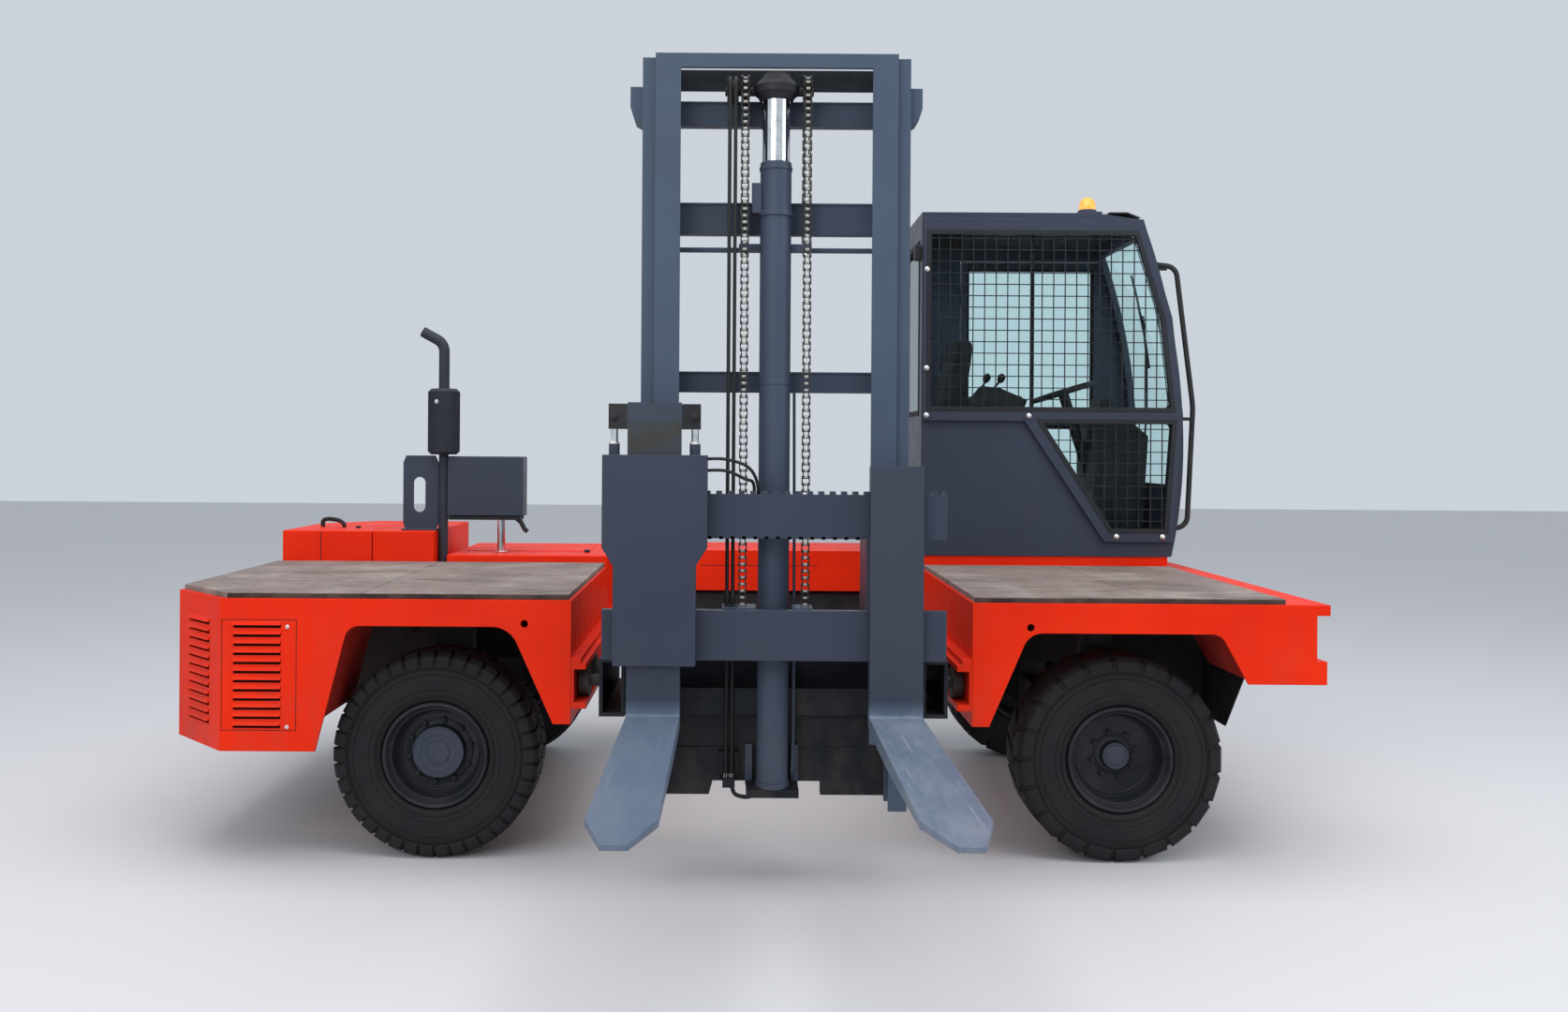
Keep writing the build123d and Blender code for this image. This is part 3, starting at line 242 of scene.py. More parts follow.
def paint(name, colour, dark, rough=0.32, coat=0.0, gloss=0.25, dirt_top=1.1, dirt_share=0.45,
          edge=(0.3, 1.5)):
    """Vehicle paint: slight colour drift, paler edges as a painted highlight, road film that thickens
    downwards, fine runs and orange peel. edge gives the painted highlight's share and brightening."""
    s = Shade(name, gloss)
    drift = s.ramp(s.noise(1.7, 3), 0.35, 0.7)
    base = s.mix(drift, colour, dark)
    # Painted highlight: sharp edges mixed towards a paler colour in noisy patches
    edge_highlight = s.math("MULTIPLY", s.edges(0.006), s.ramp(s.noise(26, 5, 0.6), 0.35, 0.62, 0.15, edge[0]))
    pale = tuple(min(1.0, channel * edge[1] + 0.03) for channel in colour)
    base = s.mix(edge_highlight, base, pale)
    film = s.ramp(s.height(), 0.25, dirt_top, 1, 0)
    blotch = s.ramp(s.noise(7, 6, 0.65, (1, 1, 0.45)), 0.42, 0.72)
    dirt = s.math("MULTIPLY", s.math("MULTIPLY", film, blotch), dirt_share)
    streak = s.ramp(s.noise(22, 5, 0.6, (1, 1, 0.06)), 0.6, 0.78, 0, 0.16)
    body = s.mix(s.math("MAXIMUM", dirt, streak), base, DIRT)
    shine = s.ramp(s.noise(11, 5, 0.6), 0.3, 0.75, rough, rough + 0.16)
    grain = s.noise(420, 2)
    s.shader.inputs["Coat Weight"].default_value = coat
    s.shader.inputs["Coat Roughness"].default_value = 0.14
    return s.finish(body, shine, grain, 0.12, 0.0006, round_edge=0.004)


def material_fork(name, rubbed_share, grease=0.0):
    """Fork paint, rubbed to bare steel along the blade's top; greased where it slides."""
    s = Shade(name, 0.3)
    wear = s.ramp(s.noise(9, 7, 0.7, (1, 0.25, 1)), 0.4, 0.75, 0.1, 0.8)
    low = s.ramp(s.height(), 0.74, 0.70, 0, 1)
    scratch = s.ramp(s.noise(60, 4, 0.7, (1, 0.03, 1)), 0.55, 0.7)
    marks = s.math("MAXIMUM", wear, s.math("MULTIPLY", scratch, 0.8))
    rubbed = s.math("MULTIPLY", s.math("MULTIPLY", low, marks), rubbed_share)
    shank = s.mix(s.ramp(s.height(), 0.71, 0.76), (0.085, 0.12, 0.175), (0.035, 0.045, 0.067))
    colour = s.mix(rubbed, shank, (0.24, 0.27, 0.32))
    if grease:
        above = s.math("MULTIPLY", s.ramp(s.height(), 1.6, 1.68), s.ramp(s.height(), 1.785, 1.76))
        spots = s.ramp(s.noise(16, 5, 0.6), 0.38, 0.6, 0.35, grease)
        colour = s.mix(s.math("MULTIPLY", above, spots), colour, (0.035, 0.032, 0.022))
    rough = s.ramp(rubbed, 0, 1, 0.42, 0.3)
    return s.finish(colour, rough, s.noise(160, 4), 0.18, 0.001, round_edge=0.004)


def material_dark(name, colour=(0.012, 0.013, 0.016), rough=0.5, dust=0.3, pale=(0.07, 0.063, 0.06)):
    """Black paint or plastic under dust."""
    s = Shade(name, 0.3)
    film = s.ramp(s.noise(6, 6, 0.6), 0.42, 0.75, 0, dust)
    body = s.mix(film, colour, pale)
    gloss = s.ramp(s.noise(18, 4), 0.3, 0.7, rough, rough + 0.2)
    return s.finish(body, gloss, s.noise(260, 3), 0.2, 0.001, round_edge=0.003)


def material_tyre():
    """Worn rubber with brown road dust in patches."""
    s = Shade("tyre", 0.22)
    dust = s.ramp(s.noise(5, 7, 0.65), 0.38, 0.72, 0.05, 0.55)
    fine = s.ramp(s.noise(55, 4, 0.6), 0.45, 0.7, 0, 0.3)
    body = s.mix(s.math("MAXIMUM", dust, fine), (0.0085, 0.009, 0.011), (0.03, 0.026, 0.026))
    return s.finish(body, s.ramp(dust, 0, 0.5, 0.6, 0.85), s.noise(190, 5, 0.7), 0.35, 0.0015,
                    round_edge=0.012)


def material_boards():
    """Weathered plywood: long brown-grey grain, scuffs, pale worn patches and dark stains."""
    s = Shade("boards", 0.2)
    grain = s.noise(14, 8, 0.7, (1, 9, 9))
    fibre = s.noise(70, 5, 0.7, (1, 14, 14))
    base = s.mix(s.ramp(grain, 0.35, 0.65), (0.14, 0.102, 0.092), (0.31, 0.25, 0.228))
    worn = s.ramp(s.noise(3.2, 8, 0.65), 0.48, 0.66)
    body = s.mix(s.math("MULTIPLY", worn, 0.6), base, (0.37, 0.32, 0.29))
    stain = s.ramp(s.noise(1.9, 6, 0.6), 0.55, 0.75, 0, 0.5)
    body = s.mix(stain, body, (0.09, 0.075, 0.072))
    streak = s.ramp(s.noise(3.2, 8, 0.7, (0.6, 1.6, 1)), 0.51, 0.6, 0, 0.62)
    body = s.mix(streak, body, (0.13, 0.105, 0.09))
    chips = s.ramp(s.noise(5.5, 8, 0.75, (0.45, 1.3, 1)), 0.6, 0.67, 0, 0.85)
    body = s.mix(chips, body, (0.5, 0.44, 0.36))
    return s.finish(body, s.ramp(grain, 0.3, 0.7, 0.6, 0.85), fibre, 0.4, 0.0015)


def material_metal(name, colour, rough, metallic=1.0, smudge=0.1):
    """Bare metal with faint smears."""
    s = Shade(name)
    smear = s.ramp(s.noise(16, 6, 0.6, (1, 1, 0.3)), 0.35, 0.7, rough, rough + smudge)
    shade = s.mix(s.ramp(s.noise(34, 5, 0.6), 0.45, 0.75), colour, tuple(c * 0.72 for c in colour))
    return s.finish(shade, smear, s.noise(300, 3), 0.08, 0.0005, metallic=metallic,
                    round_edge=0.0015)


def material_glass():
    """Green tinted safety glass with a little haze."""
    s = Shade("glass")
    s.shader.inputs["Transmission Weight"].default_value = 1.0
    s.shader.inputs["IOR"].default_value = 1.12
    haze = s.ramp(s.noise(3, 4), 0.4, 0.8, 0.0, 0.05)
    return s.finish((0.83, 0.965, 0.965), haze)


def material_seat():
    """Black woven cloth."""
    s = Shade("seat", 0.2)
    weave = s.math("MULTIPLY", s.wave(150, "X"), s.wave(150, "Z"))
    drift = s.ramp(s.noise(8, 4), 0.3, 0.7)
    body = s.mix(drift, (0.016, 0.017, 0.02), (0.028, 0.028, 0.032))
    return s.finish(body, 0.85, weave, 0.4, 0.001)


def material_lamp():
    """Amber lens with moulded ribs."""
    s = Shade("lamp")
    s.shader.inputs["Transmission Weight"].default_value = 0.35
    s.shader.inputs["Emission Color"].default_value = (1.0, 0.45, 0.08, 1)
    s.shader.inputs["Emission Strength"].default_value = 0.25
    tint = s.mix(s.ramp(s.noise(30, 3), 0.4, 0.6), (0.95, 0.42, 0.03), (1.0, 0.6, 0.12))
    return s.finish(tint, 0.15, s.wave(60), 0.3, 0.001)


def material_silencer():
    """Burnt steel under a fine perforated guard."""
    s = Shade("exhaust", 0.3)
    holes = s.math("MULTIPLY", s.ramp(s.wave(38, "X"), 0.35, 0.6), s.ramp(s.wave(38, "Z"), 0.35, 0.6))
    burnt = s.mix(s.ramp(s.noise(9, 6, 0.6), 0.4, 0.7), (0.026, 0.032, 0.048), (0.03, 0.034, 0.046))
    body = s.mix(s.math("MULTIPLY", holes, 0.6), burnt, (0.008, 0.009, 0.011))
    return s.finish(body, 0.6, holes, 0.5, 0.002)


PAINTS = {
    "body_paint": (ORANGE, ORANGE_DARK, 0.4, 0.0, 0.1),
    # Wheel arch liners: body orange darkened to dark red, painted shade
    "arch_paint": ((0.38, 0.016, 0.006), (0.2, 0.01, 0.006), 0.6, 0.0, 0.15),
    "mast_paint": (MAST_SLATE, (0.048, 0.07, 0.108), 0.4),
    # Mast slate darkened as painted shade: half shade on the cross-members and the tube
    "cross_paint": (HALF_SHADE_SLATE, (0.042, 0.057, 0.088), 0.42),
    # Mast slate darkened as painted shade: deep shade on the foot, the cradle, the inner cross-members
    # and the carriage's teeth
    "foot_paint": (DEEP_SHADE_SLATE, (0.007, 0.009, 0.013), 0.5, 0.0, 0.2),
    "cab_paint": (CAB_SLATE, (0.03, 0.037, 0.06), 0.38, 0.05),
}
DARKS = {
    "black_steel": (),
    "rim_paint": ((0.011, 0.013, 0.017), 0.42, 0.25),
    "hub_paint": ((0.034, 0.042, 0.066), 0.45, 0.3),
    "chain_plate": ((0.02, 0.018, 0.016), 0.4, 0.4),
    "grille": ((0.012, 0.014, 0.018), 0.45, 0.1),
    "plastic": ((0.013, 0.013, 0.015), 0.5, 0.12),
    "rubber": ((0.008, 0.008, 0.009), 0.7, 0.15),
    "board_edge": ((0.03, 0.02, 0.016), 0.7, 0.6, (0.16, 0.12, 0.1)),
    "iron": ((0.05, 0.045, 0.04), 0.6, 0.5),
    "hose": ((0.009, 0.009, 0.01), 0.4, 0.1),
}
METALS = {
    "chrome": ((0.78, 0.8, 0.82), 0.08),
    "chain": ((0.42, 0.41, 0.38), 0.38, 0.9, 0.2),
    "zinc": ((0.72, 0.72, 0.7), 0.3, 0.8),
}
FORKS = {"fork_paint": (1.0,), "left_fork_paint": (0.35, 0.85)}
MATERIALS = {"tyre": material_tyre(), "boards": material_boards(), "glass": material_glass(),
             "seat": material_seat(), "exhaust": material_silencer(), "lamp": material_lamp()}
for make, looks in ((paint, PAINTS), (material_dark, DARKS), (material_metal, METALS),
                    (material_fork, FORKS)):
    MATERIALS.update({name: make(name, *values) for name, values in looks.items()})

# CAD nodes that look unlike the rest of their slot; the wheel liners get orange paint darkened as
# painted shade
NODE_LOOKS = {
    "wheel_liners": "arch_paint", "left_fork": "left_fork_paint", "fork_carriage": "cab_paint",
    # The cradle gets the mast slate darkened as painted shade
    "fork_housing": "cab_paint", "mast_cradle": "foot_paint",
}


def dress_frame():
    """Give every CAD node the material of its slot, or its own look."""
    slots = {part["node"]: part["material_slot"] for part in frame["record"]["subparts"]}
    for name, node in NODES.items():
        node.data.materials.clear()
        node.data.materials.append(MATERIALS[NODE_LOOKS.get(name, slots[name])])


SHARP = math.radians(32)


class Form:
    """A mesh being put together from closed pieces, in the shared frame."""

    def __init__(self, name, look):
        self.name = name
        self.look = look
        self.bm = bmesh.new()

    def ring(self, points):
        return [self.bm.verts.new(point) for point in points]

    def skin(self, rings, closed=False):
        """Join rings that have the same number of corners; close the ends with faces."""
        pairs = list(zip(rings, rings[1:]))
        if closed:
            pairs.append((rings[-1], rings[0]))
        for low, high in pairs:
            for index in range(len(low)):
                after = (index + 1) % len(low)
                self.bm.faces.new((low[index], low[after], high[after], high[index]))
        if not closed:
            self.bm.faces.new(rings[0][::-1])
            self.bm.faces.new(rings[-1])
        return self

    def flat_ring(self, points, plane, third):
        """A ring in the plane xz, xy or yz, at a place along the third axis."""
        order = {"xz": (0, 2, 1), "xy": (0, 1, 2), "yz": (2, 0, 1)}[plane]
        return self.ring([[(a, b, third)[index] for index in order] for a, b in points])

    def prism(self, points, plane, ends):
        """A polygon in a plane, drawn out between two places along the third axis."""
        return self.skin([self.flat_ring(points, plane, end) for end in ends])

    def box(self, x, y, z):
        return self.prism(corners(*x, *y), "xy", z)

    def frame(self, inner, outer, plane, ends):
        """A flat frame between two outlines with as many corners."""
        loops = [(inner, ends[0]), (outer, ends[0]), (outer, ends[1]), (inner, ends[1])]
        return self.skin([self.flat_ring(loop, plane, end) for loop, end in loops], closed=True)

    def circle(self, centre, radius, side, up, sides):
        turns = [2 * math.pi * index / sides for index in range(sides)]
        return self.ring([centre + radius * (math.cos(t) * side + math.sin(t) * up) for t in turns])

    def circles(self, place, axis, profile, sides):
        """Rings about an axis through a place, one for each (reach, radius)."""
        along = Vector(axis).normalized()
        side = along.orthogonal().normalized()
        up = along.cross(side)
        return [self.circle(Vector(place) + along * reach, radius, side, up, sides)
                for reach, radius in profile]

    def turned(self, place, axis, profile, sides=32):
        """A turned solid: its profile is a row of (reach, radius)."""
        return self.skin(self.circles(place, axis, profile, sides))

    def hoop(self, place, axis, profile, sides=64):
        """A turned ring: its profile is a closed loop of (reach, radius)."""
        return self.skin(self.circles(place, axis, profile, sides), closed=True)

    def band(self, place, inner, outer, height, sides=56):
        """A ring about an upright axis, between two radii."""
        loop = [(reach, radius) for radius, reach in corners(inner, outer, 0, height)]
        return self.hoop(place, (0, 0, 1), loop, sides)

    def bar(self, half, y, z):
        """A box across the mast's middle; y is out from the loading side."""
        return self.box(span(MAST_X, half), (NEAR + y[0], NEAR + y[1]), z)

    def torus(self, place, axis, reach, radius, thick, sides=64, steps=10):
        loop = [(reach + thick * math.sin(2 * math.pi * k / steps),
                 radius + thick * math.cos(2 * math.pi * k / steps)) for k in range(steps)]
        return self.hoop(place, axis, loop, sides)

    def rod(self, start, end, radius, sides=16):
        way = Vector(end) - Vector(start)
        return self.turned(start, way, [(0, radius), (way.length, radius)], sides)

    def bolt(self, place, axis, radius=0.011, height=0.008):
        """A washer with a six-sided head."""
        self.turned(place, axis, [(-0.001, radius * 1.35), (0.002, radius * 1.35)], 20)
        head = [(0.002, radius), (height, radius), (height + 0.0015, radius * 0.8)]
        return self.turned(place, axis, head, 6)

    def tube(self, points, radius, sides=12):
        """A round tube through the points, its section carried along without twist."""
        points = [Vector(point) for point in points]
        ways = [(after - before).normalized() for before, after in zip(points, points[1:])]
        ways = [ways[0]] + [(a + b).normalized() for a, b in zip(ways, ways[1:])] + [ways[-1]]
        side = ways[0].orthogonal().normalized()
        rings = []
        for point, way in zip(points, ways):
            side = (side - way * side.dot(way)).normalized()
            rings.append(self.circle(point, radius, side, way.cross(side), sides))
        return self.skin(rings)

    def done(self, body=None, *replaced):
        """Make the object, let it ride on its body and hide the nodes it stands for."""
        bmesh.ops.recalc_face_normals(self.bm, faces=self.bm.faces)
        mesh = bpy.data.meshes.new(self.name)
        self.bm.to_mesh(mesh)
        self.bm.free()
        mesh.polygons.foreach_set("use_smooth", [True] * len(mesh.polygons))
        mesh.set_sharp_from_angle(angle=SHARP)
        mesh.materials.append(MATERIALS[self.look])
        piece = add_object(self.name, mesh)
        if replaced:
            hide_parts(*replaced)
        if body:
            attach(piece, body)
        return piece


def span(middle, half):
    """The two ends of a length about its middle."""
    return middle - half, middle + half


def corners(x0, x1, z0, z1):
    return [(x0, z0), (x1, z0), (x1, z1), (x0, z1)]


def curve(points, steps=8):
    """Points along a smooth line through the given ones."""
    points = [Vector(point) for point in points]
    padded = [2 * points[0] - points[1]] + points + [2 * points[-1] - points[-2]]
    line = []
    for a, b, c, d in zip(padded, padded[1:], padded[2:], padded[3:]):
        for step in range(steps):
            t = step / steps
            line.append(0.5 * (2 * b + (c - a) * t + (2 * a - 5 * b + 4 * c - d) * t * t
                               + (3 * b - a - 3 * c + d) * t ** 3))
    return line + [points[-1]]


# Pods

LOUVRES = 12
LOUVRE_PITCH = 0.036
LOUVRE_H = 0.016
LOUVRE_LOW = 0.558
LOUVRE_X = (-2.0, -1.812)
CORNER_LOUVRE_W = 0.2
CORNER_LOUVRE_AT = 0.5
# A louvre's hood from the side: y out of the plate, z from the slot's top
LOUVRE_HOOD = [(0.0, 0.012), (-0.009, 0.0), (-0.01, -0.004), (-0.0085, -0.004), (0.002, -0.001),
               (0.002, 0.012)]


def slab(form, matrix, half, section):
    """A section of (y, z) drawn out to both sides of a place that a matrix gives."""
    form.skin([form.ring([matrix @ Vector((x, y, z)) for y, z in section]) for x in (-half, half)])


def louvre_fins():
    """Pressed hoods over the louvre slots of the side and the corner plate, with dark plates behind them
    as painted shade.
    """
    fins, shade_backs = Form("louvre_fins", "body_paint"), Form("louvre_shade_backs", "rubber")
    place = (REAR + CORNER_LOUVRE_AT * CORNER, NEAR + (1 - CORNER_LOUVRE_AT) * CORNER, 0)
    corner = Matrix.Translation(place) @ Matrix.Rotation(math.radians(-45), 4, "Z")
    side = Matrix.Translation((sum(LOUVRE_X) / 2, NEAR, 0))
    side_half, corner_half = (LOUVRE_X[1] - LOUVRE_X[0]) / 2, CORNER_LOUVRE_W / 2
    low, high = LOUVRE_LOW - 0.02, LOUVRE_LOW + LOUVRES * LOUVRE_PITCH
    for matrix, half, back in ((side, side_half, 0.11), (corner, corner_half, corner_half + 0.01)):
        for row in range(LOUVRES):
            top = LOUVRE_LOW + row * LOUVRE_PITCH + LOUVRE_H
            slab(fins, matrix, half, [(y, top + z) for y, z in LOUVRE_HOOD])
        # Dark plates behind the slots: painted shade
        slab(shade_backs, matrix, back, [(0.028, low), (0.028, high), (0.032, high), (0.032, low)])
    fins.done("chassis")
    shade_backs.done("chassis")


SEAM = 0.0025
SEAM_PROUD = 0.0006
SEAM_DEEP = 0.002
LOUVRE_PANEL = (-2.046, -1.752, 0.549, 0.986)
BEAM_SEAM_Z = (1.052, 1.055)


def panel_seams():
    """Dark seams round the louvre panel, on the lid's side and along the far beam."""
    form = Form("panel_seams", "rubber")
    x0, x1, z0, z1 = LOUVRE_PANEL
    y = (NEAR - SEAM_PROUD, NEAR + SEAM_DEEP)
    for x in (x0, x1):
        form.box((x, x + SEAM), y, (z0, z1 + 0.002))
    for z in (z0, z1):
        form.box((x0, x1), y, (z, z + SEAM))
    hood_y = (CAB_NEAR - SEAM_PROUD, CAB_NEAR + SEAM_DEEP)
    form.box((-2.116, -2.112), hood_y, (DECK + 0.01, HOOD_TOP - 0.004))
    well = limits("mast_rails", "y")[1]
    beam = limits("chassis_frame", "y")[1]
    form.box((-0.2, 0.42), (well - SEAM_PROUD, well + SEAM_DEEP), BEAM_SEAM_Z)
    form.box((-0.66, 0.9), (beam - SEAM_DEEP, beam + SEAM_PROUD), BEAM_SEAM_Z)
    form.done("chassis")


# Bolts as x, z: on the louvre panel, and on the cab's window guard
PANEL_BOLTS = [(-1.786, 0.96), (-1.786, 0.564)]
GUARD_BOLTS = [(0.94, 2.581), (0.94, 2.084), (0.94, 1.846), (1.457, 1.846), (1.902, 1.24), (2.134, 1.24)]
GUARD_FACE = limits("window_grilles", "y")[0]
BOLT_HEAD = [(0, 0.0135), (0.004, 0.0135), (0.009, 0.009), (0.011, 0.003)]


def bolts():
    """Bright bolts on the louvre panel and the cab's window guard."""
    form = Form("bolts", "zinc")
    for x, z in PANEL_BOLTS:
        form.bolt((x, NEAR, z), (0, -1, 0), 0.006, 0.006)
    for x, z in GUARD_BOLTS:
        form.turned((x, GUARD_FACE, z), (0, -1, 0), BOLT_HEAD, 20)
    form.done("chassis")


# Window guard as x, z: its two openings, their outer edges and the strip beside them
UPPER_OPENING = [(0.94, 1.869), (0.94, 2.781), (2.006, 2.781), (2.143, 2.345), (2.197, 1.869)]
UPPER_EDGE = [(0.924, 1.846), (0.924, 2.84), (2.03, 2.84), (2.178, 2.345), (2.236, 1.846)]
LOWER_OPENING = [(1.494, 1.83), (2.206, 1.83), (2.164, 1.258), (1.868, 1.258)]
LOWER_EDGE = [(1.42, 1.846), (2.236, 1.846), (2.19, 1.213), (1.842, 1.213)]
GUARD_STRIP = [(0.924, 1.82), (1.44, 1.82), (1.42, 1.846), (0.924, 1.846)]


def guard_frame():
    """Flat bars round the cab's near windows, which carry the mesh and its bolts."""
    form = Form("guard_frame", "cab_paint")
    y = (GUARD_FACE + 0.002, CAB_NEAR)
    form.frame(UPPER_OPENING, UPPER_EDGE, "xz", y)
    form.frame(LOWER_OPENING, LOWER_EDGE, "xz", y)
    form.prism(GUARD_STRIP, "xz", y)
    form.done("chassis")


# Cab

REAR_WINDOW_Z = (1.85, 2.74)
SEAL = 0.022
WINDOW_BAR_X = 1.483


def window_seals():
    """Rubber round the cab's rear pane, and the bar that parts the near sliding panes."""
    form = Form("window_seals", "rubber")
    y0, y1 = CAB_NEAR + 0.09, CAB_FAR - 0.09
    z0, z1 = REAR_WINDOW_Z
    inner = corners(y0 + SEAL, y1 - SEAL, z0 + SEAL, z1 - SEAL)
    outer = corners(y0 - 0.004, y1 + 0.004, z0 - 0.004, z1 + 0.004)
    form.frame(inner, outer, "yz", (CAB_REAR - 0.003, CAB_REAR + 0.03))
    form.box(span(WINDOW_BAR_X, 0.009), (CAB_NEAR + 0.024, CAB_NEAR + 0.036), (1.885, 2.765))
    form.done("chassis")


# Door as x0, x1, z0, z1: its panel and its two panes
DOOR_EDGE = (1.256, 2.044, 1.184, 2.734)
DOOR_PANES = [(1.29, 2.01, 1.9, 2.7), (1.47, 2.01, 1.27, 1.81)]
DOOR_RAIL = 1.86
DOOR_SEAL = 0.014
HINGES = (1.4, 2.5)
HINGE_X = 1.253
HINGE_H = 0.045
GRIP_Z = 1.821


def cab_side_door():
    """The far door: slim frames round two panes, with hinges, a handle and its seals."""
    x0, x1, z0, z1 = DOOR_EDGE
    edges = [(x0, x1, DOOR_RAIL, z1), (x0, x1, z0, DOOR_RAIL)]
    frames = Form("door_frame", "cab_paint")
    for pane, edge in zip(DOOR_PANES, edges):
        frames.frame(corners(*pane), corners(*edge), "xz", (CAB_FAR - 0.04, CAB_FAR))
    for z in HINGES:
        frames.box((HINGE_X, HINGE_X + 0.055), (CAB_FAR, CAB_FAR + 0.006), (z, z + HINGE_H))
        frames.rod((HINGE_X, CAB_FAR + 0.009, z), (HINGE_X, CAB_FAR + 0.009, z + HINGE_H), 0.008, 20)
    frames.done("door", "cab_door")
    panes, seals = Form("door_panes", "glass"), Form("door_seals", "rubber")
    for a, b, c, d in DOOR_PANES:
        panes.box((a - 0.004, b + 0.004), span(CAB_FAR - 0.02, 0.003), (c - 0.004, d + 0.004))
        inner = corners(a + DOOR_SEAL, b - DOOR_SEAL, c + DOOR_SEAL, d - DOOR_SEAL)
        seals.frame(inner, corners(a, b, c, d), "xz", span(CAB_FAR - 0.02, 0.01))
    panes.done("door", "door_glass")
    seals.done("door")
    grip = Form("door_grip", "plastic")
    x = x1 - 0.105
    bow = [(-0.065, 0), (-0.06, 0.016), (0, 0.018), (0.06, 0.016), (0.065, 0)]
    grip.tube(curve([(x + along, CAB_FAR + out, GRIP_Z) for along, out in bow]), 0.008, 14)
    grip.done("door")


PAD_CUTS = 20
PAD_POWER = 7


def seat_pad(form, size, place, tilt, crown, channels):
    """A crowned cushion: rounded ends, sides that pull in and sewn channels across its top."""
    pad = bmesh.new()
    bmesh.ops.create_cube(pad, size=2)
    bmesh.ops.subdivide_edges(pad, edges=pad.edges[:], cuts=PAD_CUTS, use_grid_fill=True)
    turn = Matrix.Translation(place) @ Matrix.Rotation(tilt, 4, "Y")
    for vert in pad.verts:
        u, v, w = vert.co
        share = sum(abs(part) ** PAD_POWER for part in (u, v, w)) ** (-1 / PAD_POWER)
        u, v, w = u * share, v * share, w * share
        pull = 1 - 0.035 * (1 - u * u) * abs(v) ** 3
        height = w * size[2]
        if w > 0:
            height += crown * (1 - u * u) * (1 - v * v)
            for channel in channels:
                height -= 0.012 * math.exp(-((u - channel) / 0.035) ** 2)
            height -= 0.01 * math.exp(-((abs(v) - 0.62) / 0.04) ** 2)
        vert.co = turn @ Vector((u * size[0], v * size[1] * pull, height))
    mesh = bpy.data.meshes.new("pad")
    pad.to_mesh(mesh)
    pad.free()
    form.bm.from_mesh(mesh)
    bpy.data.meshes.remove(mesh)


SEAT_Y = limits("seat_cushions", "y")
SEAT_MIDDLE = sum(SEAT_Y) / 2
BACK_LEAN = math.radians(8)


def seat():
    """The driver's seat: cushion, backrest and their sewn channels."""
    form = Form("seat", "seat")
    half = (SEAT_Y[1] - SEAT_Y[0]) / 2
    cushion, back = (1.35, SEAT_MIDDLE, 1.696), (1.148, SEAT_MIDDLE, 2.005)
    seat_pad(form, (0.228, half - 0.004, 0.053), cushion, 0, 0.016, (-0.3, 0.1, 0.5))
    seat_pad(form, (0.245, half - 0.01, 0.046), back, BACK_LEAN - math.pi / 2, 0.02, (-0.5, 0, 0.5))
    form.done("chassis", "seat_cushions")


# Cab controls as x, z: armrest pod, dash, clock hood and a pedal
ARM_POD = [(1.2, 1.95), (1.46, 1.9), (1.47, 1.93), (1.33, 1.99), (1.24, 2.0)]
DASH = [(1.86, 1.2), (2.12, 1.2), (2.15, 1.75), (2.02, 1.86), (1.86, 1.84)]
CLOCK_HOOD = [(1.9, 1.845), (2.0, 1.855), (1.98, 1.95), (1.92, 1.945)]
PEDAL = [(1.72, 1.2), (1.75, 1.18), (1.83, 1.3), (1.8, 1.32)]
KNOB = [(-0.012, 0.009), (0, 0.018), (0.022, 0.02), (0.036, 0.008)]
LEVER_Y = CAB_NEAR + 0.11


def cab_inside():
    """Levers, a dash with its clock hood, armrests, pedals and a dark lining."""
    form = Form("cab_controls", "plastic")
    form.prism(ARM_POD, "xz", span(LEVER_Y, 0.04))
    for x, lean in ((1.235, 0.03), (1.29, 0.05)):
        tip = (x + lean, LEVER_Y, 2.03)
        form.rod((x, LEVER_Y, 1.97), tip, 0.006, 10)
        form.turned(tip, (0.4, 0, 1), KNOB, 14)
    form.prism(DASH, "xz", span(SEAT_MIDDLE, 0.16))
    form.prism(CLOCK_HOOD, "xz", span(SEAT_MIDDLE, 0.09))
    for side in (-1, 1):
        y = SEAT_MIDDLE + side * 0.265
        form.box((1.12, 1.42), span(y, 0.03), (1.86, 1.9))
        form.box((1.15, 1.19), span(y, 0.02), (1.66, 1.86))
    for y in (SEAT_MIDDLE - 0.1, SEAT_MIDDLE + 0.08):
        form.prism(PEDAL, "xz", (y, y + 0.07))
    form.done("chassis")
    trim = Form("cab_lining", "rubber")
    inside = (CAB_NEAR + 0.045, CAB_FAR - 0.045)
    trim.box((CAB_REAR + 0.042, CAB_REAR + 0.05), inside, (1.18, 1.59))
    trim.box((CAB_REAR + 0.05, 2.15), inside, (1.1785, 1.184))
    trim.box((1.0, 1.96), (CAB_NEAR + 0.06, CAB_FAR - 0.06), (ROOF - 0.075, ROOF - 0.052))
    trim.done("chassis")


# The front of the cab as z, x: its top, its middle and its foot
FRONT_TOP, FRONT_MIDDLE, FRONT_FOOT = (2.821, 2.042), (2.3, 2.186), (1.775, 2.244)


def front_glass_x(z):
    """Where the bowed front of the cab is at a height."""
    rise, run = FRONT_TOP[0] - FRONT_FOOT[0], FRONT_TOP[1] - FRONT_FOOT[1]
    share = (z - FRONT_FOOT[0]) / rise
    bow = FRONT_MIDDLE[1] - (FRONT_FOOT[1] + run * (FRONT_MIDDLE[0] - FRONT_FOOT[0]) / rise)
    return FRONT_FOOT[1] + run * share + bow * 4 * share * (1 - share)


STEP_BARS = 6
# Strip along the roof's front edge as x, height over the roof
ROOF_STRIP = [(1.87, 0.001), (1.96, 0.001), (2.022, -0.023), (2.03, -0.018), (1.962, 0.009),
              (1.87, 0.009)]


